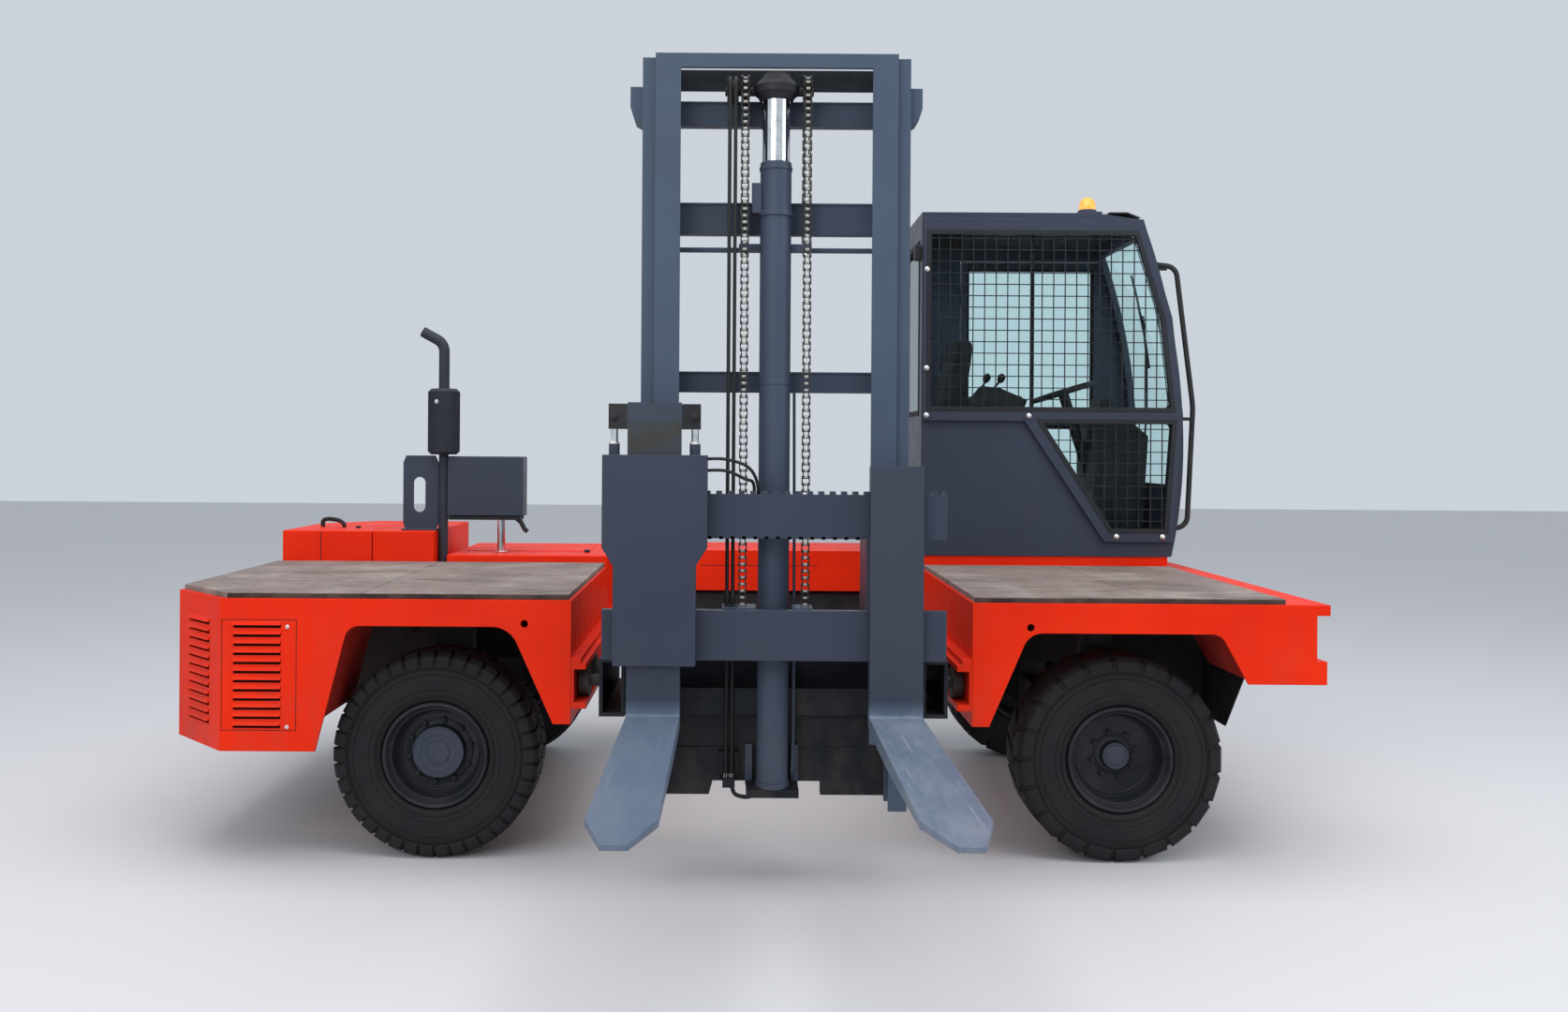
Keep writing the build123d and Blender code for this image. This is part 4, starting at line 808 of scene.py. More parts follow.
def cab_outside():
    """Wiper and its motor, lamp, roof strip, rail stubs, the door's lock and the step's bars."""
    form = Form("cab_fixtures", "plastic")
    middle = (CAB_NEAR + CAB_FAR) / 2
    arm, blade = (1.66, 1.9, 2.15, 2.4), (2.12, 2.3, 2.5, 2.62)
    form.tube([(front_glass_x(z) + 0.012, middle + (2.45 - z) * 0.3, z) for z in arm], 0.006, 8)
    form.tube([(front_glass_x(z) + 0.006, middle + 0.02 + (2.6 - z) * 0.05, z) for z in blade], 0.007, 8)
    form.turned((front_glass_x(1.66) - 0.01, middle + 0.237, 1.65), (1, 0, 0.1),
                [(0, 0.022), (0.02, 0.022), (0.028, 0.014)], 18)
    form.box((0.884, 0.919), (CAB_NEAR + 0.005, CAB_NEAR + 0.07), (2.635, 2.705))
    form.prism([(x, ROOF + rise) for x, rise in ROOF_STRIP], "xz", (CAB_NEAR + 0.02, CAB_FAR - 0.02))
    for z in (1.837, 2.6):
        x = front_glass_x(z)
        form.rod((x - 0.02, CAB_NEAR + 0.04, z), (x + 0.055, CAB_NEAR + 0.04, z), 0.009, 12)
    form.done("chassis")
    lock = Form("door_lock", "zinc")
    lock.turned((1.865, CAB_FAR, 1.351), (0, 1, 0), [(0, 0.016), (0.006, 0.016), (0.009, 0.012)], 20)
    lock.done("door")
    step = Form("step_tread", "black_steel")
    for row in range(STEP_BARS):
        y = FAR - 0.19 + 0.032 * row
        step.box((2.045, 2.225), (y, y + 0.012), (0.452, 0.459))
    step.done("chassis")


DOME = [(0, 0.042), (0.028, 0.041), (0.045, 0.036), (0.057, 0.026), (0.064, 0.014), (0.067, 0.003)]


def beacon():
    """Round warning lamp: foot, collar and an amber dome."""
    low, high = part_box("beacon")
    x, y = (low.x + high.x) / 2, (low.y + high.y) / 2
    half = (high.x - low.x) / 2
    foot = Form("beacon_foot", "cab_paint")
    foot.box(span(x, half), span(y, half), (low.z, low.z + 0.01))
    foot.turned((x, y, low.z + 0.01), (0, 0, 1), [(0, 0.047), (0.012, 0.047), (0.016, 0.043)], 32)
    foot.done("chassis")
    dome = Form("beacon_dome", "lamp")
    dome.turned((x, y, low.z + 0.026), (0, 0, 1), DOME, 40)
    dome.done("chassis", "beacon")


# Wheels: hub radius, hub reach, dish of the disc, lugs round each shoulder, nuts, their circle
WHEELS = {"rear": (0.105, 0.060, 0.020, 38, 10, 0.128), "front": (0.054, 0.050, 0.012, 21, 8, 0.092)}
RIM_HALF = 0.116
TYRE_Y = limits("tyre_rear_near", "y")
TYRE_HALF = (TYRE_Y[1] - TYRE_Y[0]) / 2
TYRE_R = limits("tyre_rear_near", "z")[1] / 2
GROOVE = 0.012
BEAD = (0.1, 0.2004)
# Half of the carcass, from the bead to the crown: axial place, radius
CARCASS = [(0.1, 0.2185), (0.114, 0.2215), (TYRE_HALF - 0.004, 0.232), (TYRE_HALF, 0.25),
           (TYRE_HALF, 0.3), (TYRE_HALF - 0.001, 0.34), (TYRE_HALF - 0.006, 0.372),
           (TYRE_HALF - 0.018, TYRE_R - GROOVE - 0.008), (TYRE_HALF - 0.05, TYRE_R - GROOVE)]
# A lug's stations across the tread: axial place, lead in lug pitches, outer radius
LUG = [(0.006, 0.42, TYRE_R - 0.001), (0.05, 0.12, TYRE_R), (TYRE_HALF - 0.03, 0.0, TYRE_R - 0.001),
       (TYRE_HALF - 0.008, 0.0, TYRE_R - 0.016), (TYRE_HALF + 0.0005, 0.0, TYRE_R - 0.045)]
LUG_SHARE = 0.44
# Rings moulded into the sidewall: radius, thickness
SIDE_RIBS = [(0.243, 0.004), (0.268, 0.0022), (0.33, 0.002), (0.352, 0.003)]


def tyre_mesh(name, centre, out, lugs):
    """A carcass with chevron lugs that run down over both shoulders."""
    form = Form("treaded_" + name, "tyre")
    loop = CARCASS + [(-axial, radius) for axial, radius in reversed(CARCASS)]
    loop += [(-BEAD[0], BEAD[1]), BEAD]
    form.hoop(centre, out, loop, 96)
    pitch = 2 * math.pi / lugs
    half = LUG_SHARE * pitch
    for side, shift in ((1, 0.0), (-1, 0.5)):
        for index in range(lugs):
            rings = []
            for axial, lead, radius in LUG:
                middle = pitch * (index + shift + lead)
                if axial < TYRE_HALF - 0.02:
                    low = min(radius - 0.006, TYRE_R - GROOVE - 0.004)
                else:
                    low = radius - 0.014
                plan = [(low, middle - half), (low, middle + half),
                        (radius, middle + half * 0.9), (radius, middle - half * 0.9)]
                place = centre + out * side * axial
                rings.append(form.ring([place + round_point(r, t) for r, t in plan]))
            form.skin(rings)
    form.done("wheel_" + name, "tyre_" + name)


def round_point(radius, turn):
    """A point on a circle in the plane of a wheel."""
    return Vector((math.cos(turn) * radius, 0, math.sin(turn) * radius))


def rim_mesh(name, centre, out, hub_r, hub_out, dish):
    """A barrel with two rolled flanges, a recessed disc and the hub that stands out of it."""
    form = Form("pressed_" + name, "rim_paint")
    form.turned(centre, out, [
        (-0.02, 0.036), (-0.02, 0.09), (dish - 0.016, 0.11), (dish - 0.014, 0.17), (-0.09, 0.184),
        (-0.112, 0.196), (-0.118, 0.2155), (-0.106, 0.2155), (-0.104, 0.2), (0.104, 0.2),
        (0.106, 0.2155), (RIM_HALF, 0.2155), (RIM_HALF + 0.003, 0.208), (RIM_HALF - 0.002, 0.199),
        (0.092, 0.189), (0.086, 0.181), (dish + 0.03, 0.176), (dish + 0.012, 0.17), (dish, 0.156),
        (dish, hub_r + 0.02), (dish + 0.006, hub_r + 0.004), (hub_out - 0.006, hub_r),
        (hub_out, hub_r - 0.007), (hub_out, 0.01),
    ], 72)
    form.done("wheel_" + name, "rim_" + name)


def rim_lips(name, centre, out, hub_r, dish, nuts, nut_circle):
    """Rolled lips, stepped rings of the disc, wheel nuts and the valve."""
    form = Form("rim_lips_" + name, "rim_paint")
    for reach, radius, thick in ((RIM_HALF, 0.207, 0.0075), (0.088, 0.186, 0.005),
                                 (dish + 0.006, 0.161, 0.005), (dish + 0.002, hub_r + 0.026, 0.005)):
        form.torus(centre, out, reach, radius, thick)
    for index in range(nuts):
        place = centre + round_point(nut_circle, 2 * math.pi * (index + 0.3) / nuts) + out * dish
        form.turned(place, out, [(0, 0.016), (0.003, 0.016)], 20)
        form.turned(place, out, [(0.003, 0.0125), (0.016, 0.0125), (0.018, 0.01)], 6)
        form.turned(place, out, [(0.018, 0.006), (0.027, 0.006)], 10)
    valve = centre + round_point(0.172, 0) + out * 0.09
    form.turned(valve, (0.2, out.y, 0), [(0, 0.005), (0.03, 0.004)], 10)
    form.done("wheel_" + name)


def hub_cap(name, centre, out, hub_r, hub_out):
    """A stepped drum's face on the driven hubs, and a small cap on the others."""
    form = Form("hub_cap_" + name, "hub_paint")
    form.torus(centre, out, hub_out - 0.002, hub_r - 0.005, 0.0055)
    if hub_r > 0.1:
        profile = [(-0.004, hub_r - 0.006), (0.002, hub_r - 0.008), (0.004, 0.074), (0.001, 0.07),
                   (0.001, 0.05), (0.006, 0.046), (0.008, 0.02), (0.005, 0.004)]
        form.turned(centre + out * hub_out, out, profile, 48)
    else:
        profile = [(-0.004, hub_r - 0.006), (0.0005, hub_r - 0.012), (0.003, 0.02), (0.002, 0.004)]
        form.turned(centre + out * hub_out, out, profile, 40)
    form.done("wheel_" + name)


def wheels():
    """Rim, hub cap, tyre and sidewall ribs of every wheel, at the place of its solid tyre."""
    for axle, side in (("rear", "near"), ("rear", "far"), ("front", "near"), ("front", "far")):
        hub_r, hub_out, dish, lugs, nuts, nut_circle = WHEELS[axle]
        name = axle + "_" + side
        centre = sum(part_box("tyre_" + name), Vector()) / 2
        out = Vector((0, -1 if side == "near" else 1, 0))
        rim_lips(name, centre, out, hub_r, dish, nuts, nut_circle)
        hub_cap(name, centre, out, hub_r, hub_out)
        tyre_mesh(name, centre, out, lugs)
        rim_mesh(name, centre, out, hub_r, hub_out, dish)
        ribs = Form("tyre_ribs_" + name, "tyre")
        for radius, thick in SIDE_RIBS:
            ribs.torus(centre, out, TYRE_HALF - 0.001, radius, thick, 96, 8)
        ribs.done("wheel_" + name)


# Mast

CYLINDER_Y = NEAR - 0.140
SHEAVE_R = 0.045
SHEAVE_Z = 3.045
CHAIN_X = 0.119
CHAIN_R = SHEAVE_R + 0.007
CHAIN_PITCH = 0.0254
HOSE_MIDDLE = MAST_X - 0.167
HOSE_APART = 0.011
HOSE_R = 0.007
HOSE_BEND = SHEAVE_R + HOSE_R
CARRIAGE_ANCHOR = 1.084
REAR_ANCHOR = limits("chain_rear", "z")[0]
TUBE_R = 0.06
RAM_R = 0.054
HOSE_FOOT = 0.4


def chain_link(pins, plates, place, way, outer):
    """One pitch of chain from a place: a pin with its roller, and a plate at each side."""
    half = 0.0075 if outer else 0.0105
    pins.rod(place - Vector((half, 0, 0)), place + Vector((half, 0, 0)), 0.0058, 10)
    normal = way.cross(Vector((1, 0, 0))) * 0.0065
    low, high = place - way * 0.006, place + way * (CHAIN_PITCH + 0.006)
    for side in (-1, 1):
        x = side * (0.0138 if outer else 0.0095)
        rings = []
        for shift in (Vector((x - 0.0021, 0, 0)), Vector((x + 0.0021, 0, 0))):
            rings.append(plates.ring([corner + shift for corner in
                                      (low - normal, low + normal, high + normal, high - normal)]))
        plates.skin(rings)


def chain_run(name, node, y, z):
    """Both chains' straight runs between two heights, baked into place and on no body."""
    pins, plates = Form(name + "_pins", "chain"), Form(name + "_plates", "chain_plate")
    count = round((z[1] - z[0]) / CHAIN_PITCH)
    pitch = (z[1] - z[0]) / count
    for side in (-1, 1):
        for index in range(count):
            place = Vector((MAST_X + side * CHAIN_X, y, z[0] + pitch * index))
            chain_link(pins, plates, place, Vector((0, 0, 1)), index % 2 == 0)
    for piece in (pins.done(), plates.done(None, node)):
        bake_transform(piece)


def over_sheave(x, radius, turn):
    """A point on the half turn over the sheaves, from the carriage's side to the mast's."""
    return Vector((x, CYLINDER_Y - radius * math.cos(turn), SHEAVE_Z + radius * math.sin(turn)))


def chain_wraps():
    """The chains' half turns over the sheaves."""
    pins, plates = Form("chain_wrap_pins", "chain"), Form("chain_wrap_plates", "chain_plate")
    steps = round(math.pi * CHAIN_R / CHAIN_PITCH)
    for side in (-1, 1):
        for index in range(steps):
            turn = math.pi * index / steps
            way = Vector((0, math.sin(turn), math.cos(turn)))
            place = over_sheave(MAST_X + side * CHAIN_X, CHAIN_R, turn)
            chain_link(pins, plates, place, way, index % 2 == 0)
    pins.done("lift")
    plates.done("lift")


HOSES_X = (HOSE_MIDDLE - HOSE_APART, HOSE_MIDDLE + HOSE_APART)
FERRULE = [(0, HOSE_R + 0.003), (0.05, HOSE_R + 0.003), (0.055, HOSE_R)]


def hose_run(name, y, z):
    """Two hoses side by side between two heights, baked into place and on no body."""
    form = Form(name, "hose")
    start = z[0] + FERRULE[-1][0]
    for x in HOSES_X:
        form.turned((x, y, z[0]), (0, 0, 1), FERRULE, 14)
        form.tube([(x, y, start + (z[1] - start) * step / 24) for step in range(25)], HOSE_R, 14)
    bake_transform(form.done())


def hose_wraps():
    """The hoses' half turns over their sheave."""
    form = Form("hose_wraps", "hose")
    for x in HOSES_X:
        form.tube([over_sheave(x, HOSE_BEND, math.pi * step / 16) for step in range(17)], HOSE_R, 14)
    form.done("lift")


# Posts seen from above, as x out from the mast's middle and y out from the loading side
OUTER_PLAN = [(0.51, -0.19), (0.44, -0.19), (0.44, -0.172), (0.492, -0.172), (0.492, -0.048),
              (0.44, -0.048), (0.44, -0.03), (0.51, -0.03)]
INNER_PLAN = [(0.46, -0.215), (0.364, -0.215), (0.364, -0.197), (0.407, -0.197), (0.407, -0.075),
              (0.38, -0.075), (0.38, -0.057), (0.47, -0.057), (0.47, -0.075), (0.425, -0.075),
              (0.425, -0.197), (0.46, -0.197)]
OUTER_Z = (0.3, 3.16)
INNER_Z = (0.56, limits("inner_mast", "z")[1])
# Cross-members behind the outer posts: low, high, half width, how far behind the loading side
OUTER_CROSS = [(2.94, 3.036, 0.51, 0.015), (2.514, 2.639, 0.492, 0.01), (2.446, 2.464, 0.492, -0.012),
               (1.896, 1.977, 0.492, 0.01)]
INNER_CROSS = [(3.068, 3.148), (0.64, 0.74)]
FOOT_Z = 0.35
# The foot's plate from the front: x out from the mast's middle, z
FOOT = [(-0.492, 0.69), (0.492, 0.69), (0.492, 0.318), (0.193, 0.318), (0.193, 0.372), (0.1, 0.372),
        (0.1, FOOT_Z), (-0.1, FOOT_Z), (-0.1, 0.372), (-0.23, 0.372), (-0.245, 0.318), (-0.492, 0.318)]
HEAD_LUG = [(0.51, 2.915), (0.545, 2.935), (0.56, 2.981), (0.56, 3.059), (0.51, 3.059)]


def across(points, side=1):
    """Mast points carried to their place, on one side of the mast's middle."""
    return [(MAST_X + side * x, z) for x, z in points]


def posts(form, plan, z):
    """The two posts of a mast, mirrored about its middle."""
    for side in (-1, 1):
        form.prism([(MAST_X + side * x, NEAR + y) for x, y in plan], "xy", z)


def outer_posts():
    """Two channels that open inwards, their head lugs and the members that join them."""
    form = Form("outer_posts", "mast_paint")
    posts(form, OUTER_PLAN, OUTER_Z)
    for side in (-1, 1):
        form.prism(across(HEAD_LUG, side), "xz", (NEAR - 0.15, NEAR - 0.03))
    form.done("reach", "outer_mast")
    cross = Form("outer_cross_members", "cross_paint")
    for low, high, half, depth in OUTER_CROSS:
        cross.bar(half, (-0.03, depth), (low, high))
        if high - low > 0.05:
            cross.bar(half, (-0.034, -0.029), (high - 0.008, high))
    cross.done("reach")


def mast_foot():
    """The foot member: stepped plate, bracket under the tube, pin blocks and hose fittings."""
    form = Form("mast_foot", "foot_paint")
    form.prism(across(FOOT), "xz", (NEAR - 0.03, NEAR + 0.02))
    form.bar(0.1, (-0.196, -0.03), (FOOT_Z, FOOT_Z + 0.03))
    form.bar(0.492, (-0.038, -0.03), (0.655, 0.69))
    form.bar(0.492, (-0.036, -0.03), (0.497, 0.505))
    form.done("reach")
    bars = Form("mast_foot_bars", "mast_paint")
    for x in span(MAST_X, 0.089):
        bars.box(span(x, 0.014), (NEAR - 0.052, NEAR - 0.03), (0.37, 0.52))
        bars.turned((x, NEAR - 0.03, 0.37), (0, -1, 0), [(0, 0.014), (0.022, 0.014)], 20)
        bars.turned((x, NEAR - 0.052, 0.38), (0, -1, 0), [(0, 0.009), (0.01, 0.009)], 16)
    bars.done("reach")
    block = Form("hose_block", "black_steel")
    x = HOSE_MIDDLE
    block.box(span(x, 0.024), (NEAR - 0.11, NEAR - 0.03), (0.365, HOSE_FOOT))
    block.box(span(x, 0.04), (NEAR - 0.05, NEAR - 0.03), (0.4, 0.49))
    elbow = [(0.01, -0.08, 0.366), (0.03, -0.08, 0.33), (0.09, -0.09, 0.33), (0.125, -0.12, 0.4)]
    block.tube(curve([(x + along, NEAR + y, z) for along, y, z in elbow]), 0.008, 12)
    block.done("reach")


def inner_posts():
    """Two I posts nested in the channels, with a cap bar in front and members behind."""
    form = Form("inner_posts", "mast_paint")
    posts(form, INNER_PLAN, INNER_Z)
    form.bar(0.364, (-0.215, -0.197), (3.117, INNER_Z[1]))
    form.done("lift", "inner_mast")
    cross = Form("inner_cross_members", "foot_paint")
    for z in INNER_CROSS:
        cross.bar(0.407, (-0.074, -0.057), z)
    cross.bar(0.407, (-0.0752, -0.074), (0.7, 0.706))
    cross.done("lift")


# The ram's head from the side: height over its foot, radius
RAM_FOOT, RAM_HEAD = 1.16, 3.0
HEAD = [(0.008, 0.058), (0.012, 0.066), (0.022, 0.07), (0.034, 0.084), (0.06, 0.088), (0.076, 0.076),
        (0.098, 0.054), (0.11, 0.048)]
# Sheaves: middle, half width
SHEAVES = [(MAST_X - CHAIN_X, 0.016), (MAST_X + CHAIN_X, 0.016), (HOSE_MIDDLE, 0.022)]
FLANGE_R = SHEAVE_R + 0.0055


def crosshead():
    """Chromed ram with its dark cast head, grooved sheaves and their pin."""
    ram = Form("ram", "chrome")
    ram.turned((MAST_X, CYLINDER_Y, RAM_FOOT), (0, 0, 1), [(0, RAM_R), (1.86, RAM_R)], 64)
    ram.done("lift", "lift_rod")
    head = Form("ram_head", "black_steel")
    head.turned((MAST_X, CYLINDER_Y, RAM_HEAD), (0, 0, 1), HEAD, 56)
    head.box(span(MAST_X, 0.054), (CYLINDER_Y, NEAR - 0.076), (3.068, 3.109))
    side = [(0, 0.02), (0, FLANGE_R), (0.0025, FLANGE_R), (0.0035, SHEAVE_R - 0.0005)]
    for x, half in SHEAVES:
        profile = side + [(2 * half - reach, radius) for reach, radius in reversed(side)]
        head.turned((x - half, CYLINDER_Y, SHEAVE_Z), (1, 0, 0), profile, 40)
    pin = (HOSE_MIDDLE - 0.03, MAST_X + CHAIN_X + 0.024)
    head.rod(*[(x, CYLINDER_Y, SHEAVE_Z) for x in pin], 0.017, 20)
    head.done("lift")


# Rings on the tube: low, height, how far they stand out
TUBE_BANDS = [(2.565, 0.02, 0.006), (1.92, 0.02, 0.0006), (0.382, 0.02, 0.005)]
# The pipe beside the tube, from its axis: x, y, z
TUBE_PIPE = [(0.075, 0.02, 0.43), (0.081, 0.03, 0.6), (0.081, 0.035, 1.2), (0.077, 0.035, 1.9)]


def cylinder_gear():
    """The tube with its chain anchors, gland ring, clamp bands, foot ring and pipe."""
    low, top = limits("lift_cylinder", "z")
    height = top - low
    tube = Form("cylinder_tube", "cross_paint")
    tube.turned((MAST_X, CYLINDER_Y, low), (0, 0, 1), [
        (0, TUBE_R), (height - 0.003, TUBE_R), (height, TUBE_R - 0.002), (height, RAM_R + 0.0008),
        (height - 0.04, RAM_R + 0.0008),
    ], 64)
    tube.box(span(MAST_X, CHAIN_X + 0.022), (CYLINDER_Y + TUBE_R - 0.035, CYLINDER_Y + SHEAVE_R + 0.018),
             (REAR_ANCHOR - 0.044, REAR_ANCHOR - 0.014))
    tube.done("reach", "lift_cylinder")
    form = Form("cylinder_bands", "cross_paint")
    for z, thick, grow in TUBE_BANDS:
        form.band((MAST_X, CYLINDER_Y, z), TUBE_R - 0.0005, TUBE_R + grow, thick)
    form.box((MAST_X - 0.092, MAST_X - 0.055), span(CYLINDER_Y, 0.03), (2.576, 2.69))
    form.band((MAST_X, CYLINDER_Y, top - 0.03), TUBE_R - 0.0005, TUBE_R + 0.0035, 0.012)
    form.tube(curve([(MAST_X + x, CYLINDER_Y + y, z) for x, y, z in TUBE_PIPE]), 0.006, 10)
    form.done("reach")
    nuts = Form("mast_nuts", "zinc")
    for x in HOSES_X:
        nuts.turned((x, CYLINDER_Y + HOSE_BEND, HOSE_FOOT), (0, 0, 1),
                    [(0, 0.0105), (0.016, 0.0105), (0.02, 0.008)], 6)
    for x in span(MAST_X, CHAIN_X):
        for z in (REAR_ANCHOR - 0.056, REAR_ANCHOR - 0.012):
            nuts.turned((x, CYLINDER_Y + CHAIN_R, z), (0, 0, 1), [(0, 0.014), (0.01, 0.014)], 6)
    nuts.done("reach")


WELD_PITCH = 0.006
# Heights between which weld beads run: the wide cross-members and the foot
WELDS = [(2.94, 3.036), (2.514, 2.639), (1.896, 1.977), (0.45, 0.69)]


def mast_welds():
    """Weld beads where the cross-members meet the posts."""
    form = Form("mast_welds", "mast_paint")
    rng = random.Random(7)
    for low, high in WELDS:
        count = max(6, int((high - low) / WELD_PITCH))
        for x in span(MAST_X, 0.44):
            for index in range(count):
                z = low + (high - low) * (index + 0.5) / count
                bead = [(-0.004, 0.002), (0, 0.0045 + rng.uniform(0, 0.001)), (0.004, 0.002)]
                form.turned((x, NEAR - 0.03, z), (0, 0, 1), bead, 8)
    form.done("reach")


# Carriage and forks

FORK_X = -0.316
SHANK_HALF = 0.1
LEVEL_ROD_X = 0.148
LEVEL_Y = NEAR - 0.366
EAR_Z = (1.746, 1.836)
TEETH = 14
TOOTH_PITCH = 0.042
# Levelling hoses: height at the housing, x at the carriage's middle
LEVEL_HOSES = [(1.638, 0.062), (1.596, 0.048)]


def carriage_trim():
    """Small teeth under the upper bar, levelling hoses, the hoses' bracket and the rods' nuts."""
    form = Form("carriage_teeth", "foot_paint")
    for index in range(TEETH):
        x = -0.12 + TOOTH_PITCH * index
        form.box((x, x + 0.014), (NEAR - 0.338, NEAR - 0.3), (1.342, 1.353))
    form.done("carriage")
    hoses = Form("level_hoses", "hose")
    y = NEAR - 0.38
    for low, end in LEVEL_HOSES:
        hoses.tube(curve([
            (-0.145, NEAR - 0.37, low - 0.006), (-0.12, y, low), (-0.05, y, low - 0.002),
            (end - 0.035, y + 0.01, low - 0.03), (end, NEAR - 0.32, 1.545), (end, NEAR - 0.29, 1.45),
            (end, NEAR - 0.26, 1.36),
        ]), 0.006, 12)
    hoses.done("carriage")
    foot = Form("hose_bracket", "cab_paint")
    x, y = span(HOSE_MIDDLE, 0.028), CYLINDER_Y - HOSE_BEND
    foot.box(x, (y - 0.06, y + 0.014), (CARRIAGE_ANCHOR - 0.02, CARRIAGE_ANCHOR))
    foot.box(x, (NEAR - 0.3, y - 0.04), (CARRIAGE_ANCHOR - 0.06, CARRIAGE_ANCHOR))
    foot.done("carriage")
    nuts = Form("carriage_nuts", "zinc")
    for x in span(FORK_X, LEVEL_ROD_X):
        nuts.turned((x, LEVEL_Y, 1.688), (0, 0, 1), [(0, 0.019), (0.01, 0.019), (0.012, 0.016)], 6)
    nuts.done("carriage")


def fork_head():
    """The levelled fork's dark rod ends, clamped to its ears, with their bright rods."""
    ends, rods = Form("fork_rod_ends", "black_steel"), Form("fork_rods", "chrome")
    for side in (-1, 1):
        x = sorted((FORK_X + side * (SHANK_HALF + 0.001), FORK_X + side * (LEVEL_ROD_X + 0.0195)))
        ends.box(x, (LEVEL_Y - 0.0235, LEVEL_Y + 0.05), (EAR_Z[0] - 0.0005, EAR_Z[1] + 0.0015))
        rod = FORK_X + side * LEVEL_ROD_X
        ends.bolt((rod, LEVEL_Y - 0.0235, sum(EAR_Z) / 2), (0, -1, 0), 0.014, 0.012)
        rods.turned((rod, LEVEL_Y, EAR_Z[0]), (0, 0, -1), [(0, 0.0135), (0.16, 0.0135)], 24)
    top = limits("left_fork", "z")[1]
    ends.turned((FORK_X, LEVEL_Y + 0.02, top), (0, 0, 1), [(0, 0.02), (0.003, 0.018)], 24)
    ends.done("leveller")
    rods.done("leveller")


# Hoods, exhaust and box

TUB_EDGE = 0.004


def tub(form, plan, low, high, wall=0.01):
    """A cover: walls on an outline, closed by its top."""
    middle = Vector((sum(x for x, _ in plan), sum(y for _, y in plan))) / len(plan)

    def shrunk(inset):
        return [(x - math.copysign(inset, x - middle.x), y - math.copysign(inset, y - middle.y))
                for x, y in plan]

    loops = [(shrunk(wall), high - wall), (shrunk(wall), low), (plan, low), (plan, high - TUB_EDGE),
             (shrunk(TUB_EDGE), high)]
    return form.skin([form.ring([(x, y, z) for x, y in loop]) for loop, z in loops])


HOOD_SPLIT_X = -1.857
HOOD_END_X = -1.543
LOW_HOOD_X = (-1.476, -0.665)
LOW_HOOD_TOP = 1.125
CORNER_BACK = 0.272
# The lid's grip: x, how far before its foot, height over the lid
GRIP = [(-2.2, 0, 0), (-2.2, 0, 0.03), (-2.17, -0.01, 0.042), (-2.11, -0.03, 0.036),
        (-2.08, -0.04, 0.02), (-2.075, -0.04, 0)]


def covers():
    """The lid over the rear corner with its grip, the fixed hood, the low hood and locks."""
    rear, back = REAR + 0.03, FAR - 0.012
    lid = Form("hood_lid", "body_paint")
    plan = [(rear, CAB_NEAR), (HOOD_SPLIT_X, CAB_NEAR), (HOOD_SPLIT_X, back),
            (REAR + CORNER + 0.006, back), (rear, FAR - CORNER_BACK)]
    tub(lid, plan, DECK + 0.0003, HOOD_TOP)
    lid.done("hood", "engine_hood")
    grip = Form("hood_grip", "plastic")
    grip.tube(curve([(x, CAB_NEAR + 0.3 + y, HOOD_TOP + z) for x, y, z in GRIP]), 0.011, 14)
    grip.done("hood")
    fixed = Form("fixed_hoods", "body_paint")
    tub(fixed, corners(HOOD_SPLIT_X + 0.006, HOOD_END_X, CAB_NEAR, back), DECK, HOOD_TOP)
    tub(fixed, corners(*LOW_HOOD_X, CAB_NEAR, back - 0.05), DECK, LOW_HOOD_TOP)
    fixed.box((LOW_HOOD_X[0] + 0.05, LOW_HOOD_X[1] - 0.12), (CAB_NEAR + 0.25, back - 0.2),
              (LOW_HOOD_TOP, LOW_HOOD_TOP + 0.003))
    fixed.done("chassis", "service_covers")
    locks = Form("cover_locks", "plastic")
    locks.turned((-0.79, CAB_NEAR + 0.2, LOW_HOOD_TOP), (0, 0, 1),
                 [(0, 0.016), (0.01, 0.016), (0.014, 0.01)], 20)
    locks.turned((-1.99, CAB_NEAR + 0.22, HOOD_TOP), (0, 0, 1),
                 [(0, 0.014), (0.008, 0.014), (0.011, 0.01)], 20)
    locks.done("chassis")


PIPE_X, PIPE_Y = -1.518, NEAR + 1.5
BRACKET_X = (-1.724, -1.5425)
BRACKET_Z = (HOOD_TOP, 1.625)
# The bracket's slot: x and z of its middle, radius of its ends, half its height
SLOT = (-1.64, 1.425, 0.03, 0.09)
SLOT_STEPS = 32
BOX_X = (-1.4937, -1.106)
BOX_Z = (1.319, 1.622)
BOX_Y = (PIPE_Y - 0.02, PIPE_Y + 0.1)


def slotted_plate(form):
    """The bracket's plate: a round-ended slot in a rectangle, corner for corner."""
    sx, sz, radius, rise = SLOT
    inner, outer = [], []
    for index in range(SLOT_STEPS):
        turn = 2 * math.pi * (index + 0.5) / SLOT_STEPS
        out, up = math.cos(turn), math.sin(turn)
        inner.append((sx + radius * out, sz + radius * up + math.copysign(rise - radius, up)))
        reach = max(abs(out), abs(up))
        edge_x, edge_z = BRACKET_X[out > 0], BRACKET_Z[up > 0]
        outer.append((sx + abs(out) / reach * (edge_x - sx), sz + abs(up) / reach * (edge_z - sz)))
    form.frame(inner, outer, "xz", span(PIPE_Y, 0.004))


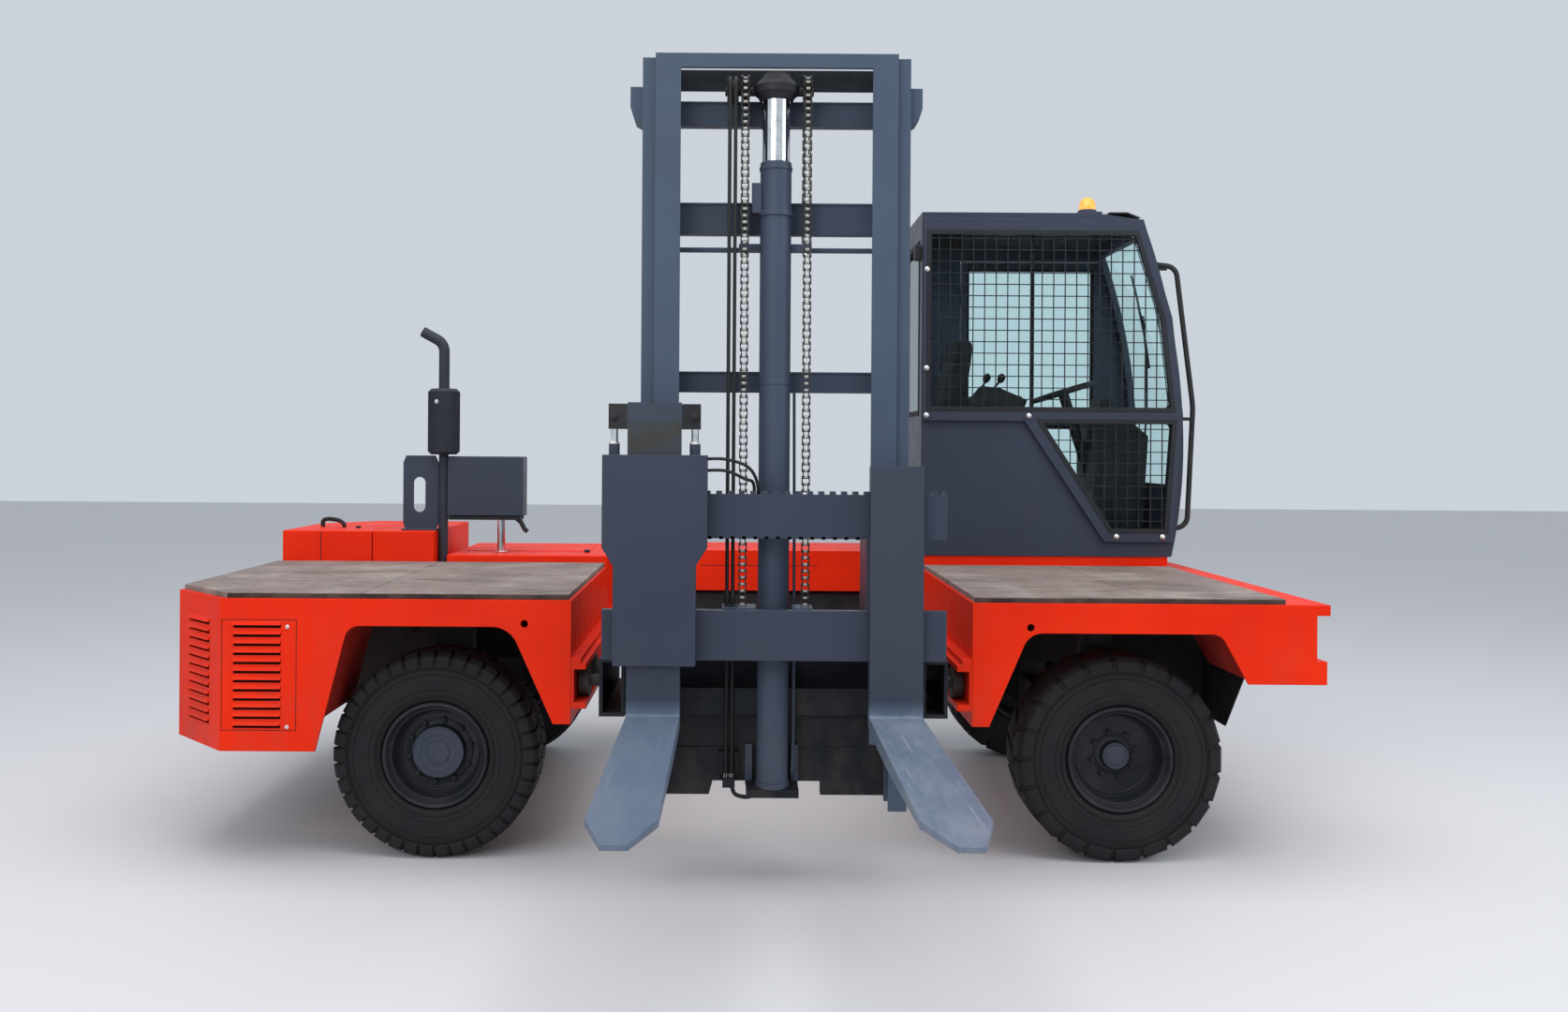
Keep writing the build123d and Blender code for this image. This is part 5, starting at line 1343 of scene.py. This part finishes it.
def exhaust_box():
    """The slotted bracket beside the pipe, the slim grey box and the post under it."""
    form = Form("bracket_and_box", "cab_paint")
    slotted_plate(form)
    form.box(BRACKET_X, span(PIPE_Y, 0.04), (HOOD_TOP, HOOD_TOP + 0.008))
    tub(form, corners(*BOX_X, *BOX_Y), BOX_Z[0], BOX_Z[1], 0.003)
    form.box(BOX_X, BOX_Y, (BOX_Z[0], BOX_Z[0] + 0.003))
    form.box((BOX_X[0] - 0.02, BOX_X[0] + 0.001), (PIPE_Y + 0.005, PIPE_Y + 0.06), (1.36, 1.58))
    form.done("chassis", "exhaust_stand")
    post = Form("box_post", "chrome")
    post.turned((-1.23, PIPE_Y + 0.06, LOW_HOOD_TOP), (0, 0, 1),
                [(0, 0.03), (0.008, 0.03), (0.009, 0.021), (BOX_Z[0] - LOW_HOOD_TOP, 0.021)], 32)
    post.done("chassis", "box_posts")
    latch = Form("box_latch", "plastic")
    latch.box((-1.49, -1.12), (PIPE_Y - 0.012, PIPE_Y + 0.09), (BOX_Z[0] - 0.022, BOX_Z[0]))
    handle = [(-1.14, BOX_Z[0] - 0.015), (-1.118, 1.285), (-1.1, 1.25), (-1.085, 1.238)]
    latch.tube([(x, PIPE_Y, z) for x, z in handle], 0.012, 12)
    latch.done("chassis")


# Mudguard flap behind the front wheel: how far in from the side, z
FLAP = [(0.191, 0.79), (0.426, 0.5), (0.68, 0.5), (0.68, 0.79)]
FLAP_X = (2.085, 2.091)
SHEET = 0.006


def shade_webs_and_mudguards():
    """Dark webs down the middle of both pods, painted shade inside them, and the front wheels' dark
    inner mudguards.
    """
    form = Form("shade_webs_and_mudguards", "rubber")
    shade_web = (NEAR + FAR) / 2 + 0.2
    # Dark webs: painted shade inside the pods
    for x in ((0.945, 2.26), (-1.44, -0.69)):
        form.box(x, (shade_web, shade_web + SHEET), (0.62, DECK - 0.012))
    for face, way in ((NEAR, 1), (FAR, -1)):
        y = sorted((face + way * 0.68, face + way * (0.68 + SHEET)))
        form.box((1.62, 2.26), y, (0.66, DECK - 0.012))
        form.box((1.8, 2.091), y, (0.5, 0.66))
        form.prism([(face + way * depth, z) for depth, z in FLAP], "yz", FLAP_X)
    form.done("chassis")


def board_edges():
    """The boards' dark cut edges along the loading side."""
    form = Form("board_edges", "board_edge")
    for x in ((-2.03, -0.677), (0.934, 2.164)):
        form.box(x, (NEAR + 0.0145, NEAR + 0.0178), (DECK, DECK + 0.0185))
    form.done("chassis")


GUARD_R = 0.0792
GUARD_WIRE = 0.0016
GUARD_ROWS = 20
GUARD_BARS = 40
GUARD_Z = (1.646, 1.952)


def hood_gear():
    """The tank's filler, the silencer's mesh guard and the guard's bolt."""
    filler = Form("cover_gear", "black_steel")
    cap = (limits("tank", "x")[1] - 0.18, FAR - 0.06, 0.92)
    filler.turned(cap, (0, 0, -1), [(0, 0.03), (0.01, 0.03)], 24)
    filler.done("chassis")
    bolt = Form("guard_bolt", "zinc")
    bolt.bolt((PIPE_X - 0.02, PIPE_Y - 0.0755, 1.9), (-0.2, -1, 0), 0.008, 0.007)
    bolt.done("chassis")
    guard = Form("silencer_guard", "exhaust")
    for row in range(GUARD_ROWS):
        z = GUARD_Z[0] + 0.002 + row * 0.0158
        guard.torus((PIPE_X, PIPE_Y, z), (0, 0, 1), 0, GUARD_R, GUARD_WIRE, 48, 6)
    for index in range(GUARD_BARS):
        turn = 2 * math.pi * index / GUARD_BARS
        x, y = PIPE_X + GUARD_R * math.cos(turn), PIPE_Y + GUARD_R * math.sin(turn)
        guard.rod((x, y, GUARD_Z[0]), (x, y, GUARD_Z[1]), GUARD_WIRE, 6)
    guard.done("chassis")


add_camera()
add_studio()
dress_frame()
louvre_fins()
panel_seams()
bolts()
guard_frame()
window_seals()
cab_side_door()
seat()
cab_inside()
cab_outside()
beacon()
wheels()
chain_run("chain_front_run", "chain_front", CYLINDER_Y - CHAIN_R,
          (CARRIAGE_ANCHOR, SHEAVE_Z))
chain_run("chain_rear_run", "chain_rear", CYLINDER_Y + CHAIN_R,
          (REAR_ANCHOR, SHEAVE_Z))
chain_wraps()
hose_run("hose_front", CYLINDER_Y - HOSE_BEND, (CARRIAGE_ANCHOR, SHEAVE_Z))
hose_run("hose_rear", CYLINDER_Y + HOSE_BEND, (HOSE_FOOT, SHEAVE_Z))
hose_wraps()
outer_posts()
mast_foot()
inner_posts()
crosshead()
cylinder_gear()
mast_welds()
carriage_trim()
fork_head()
covers()
exhaust_box()
shade_webs_and_mudguards()
board_edges()
hood_gear()
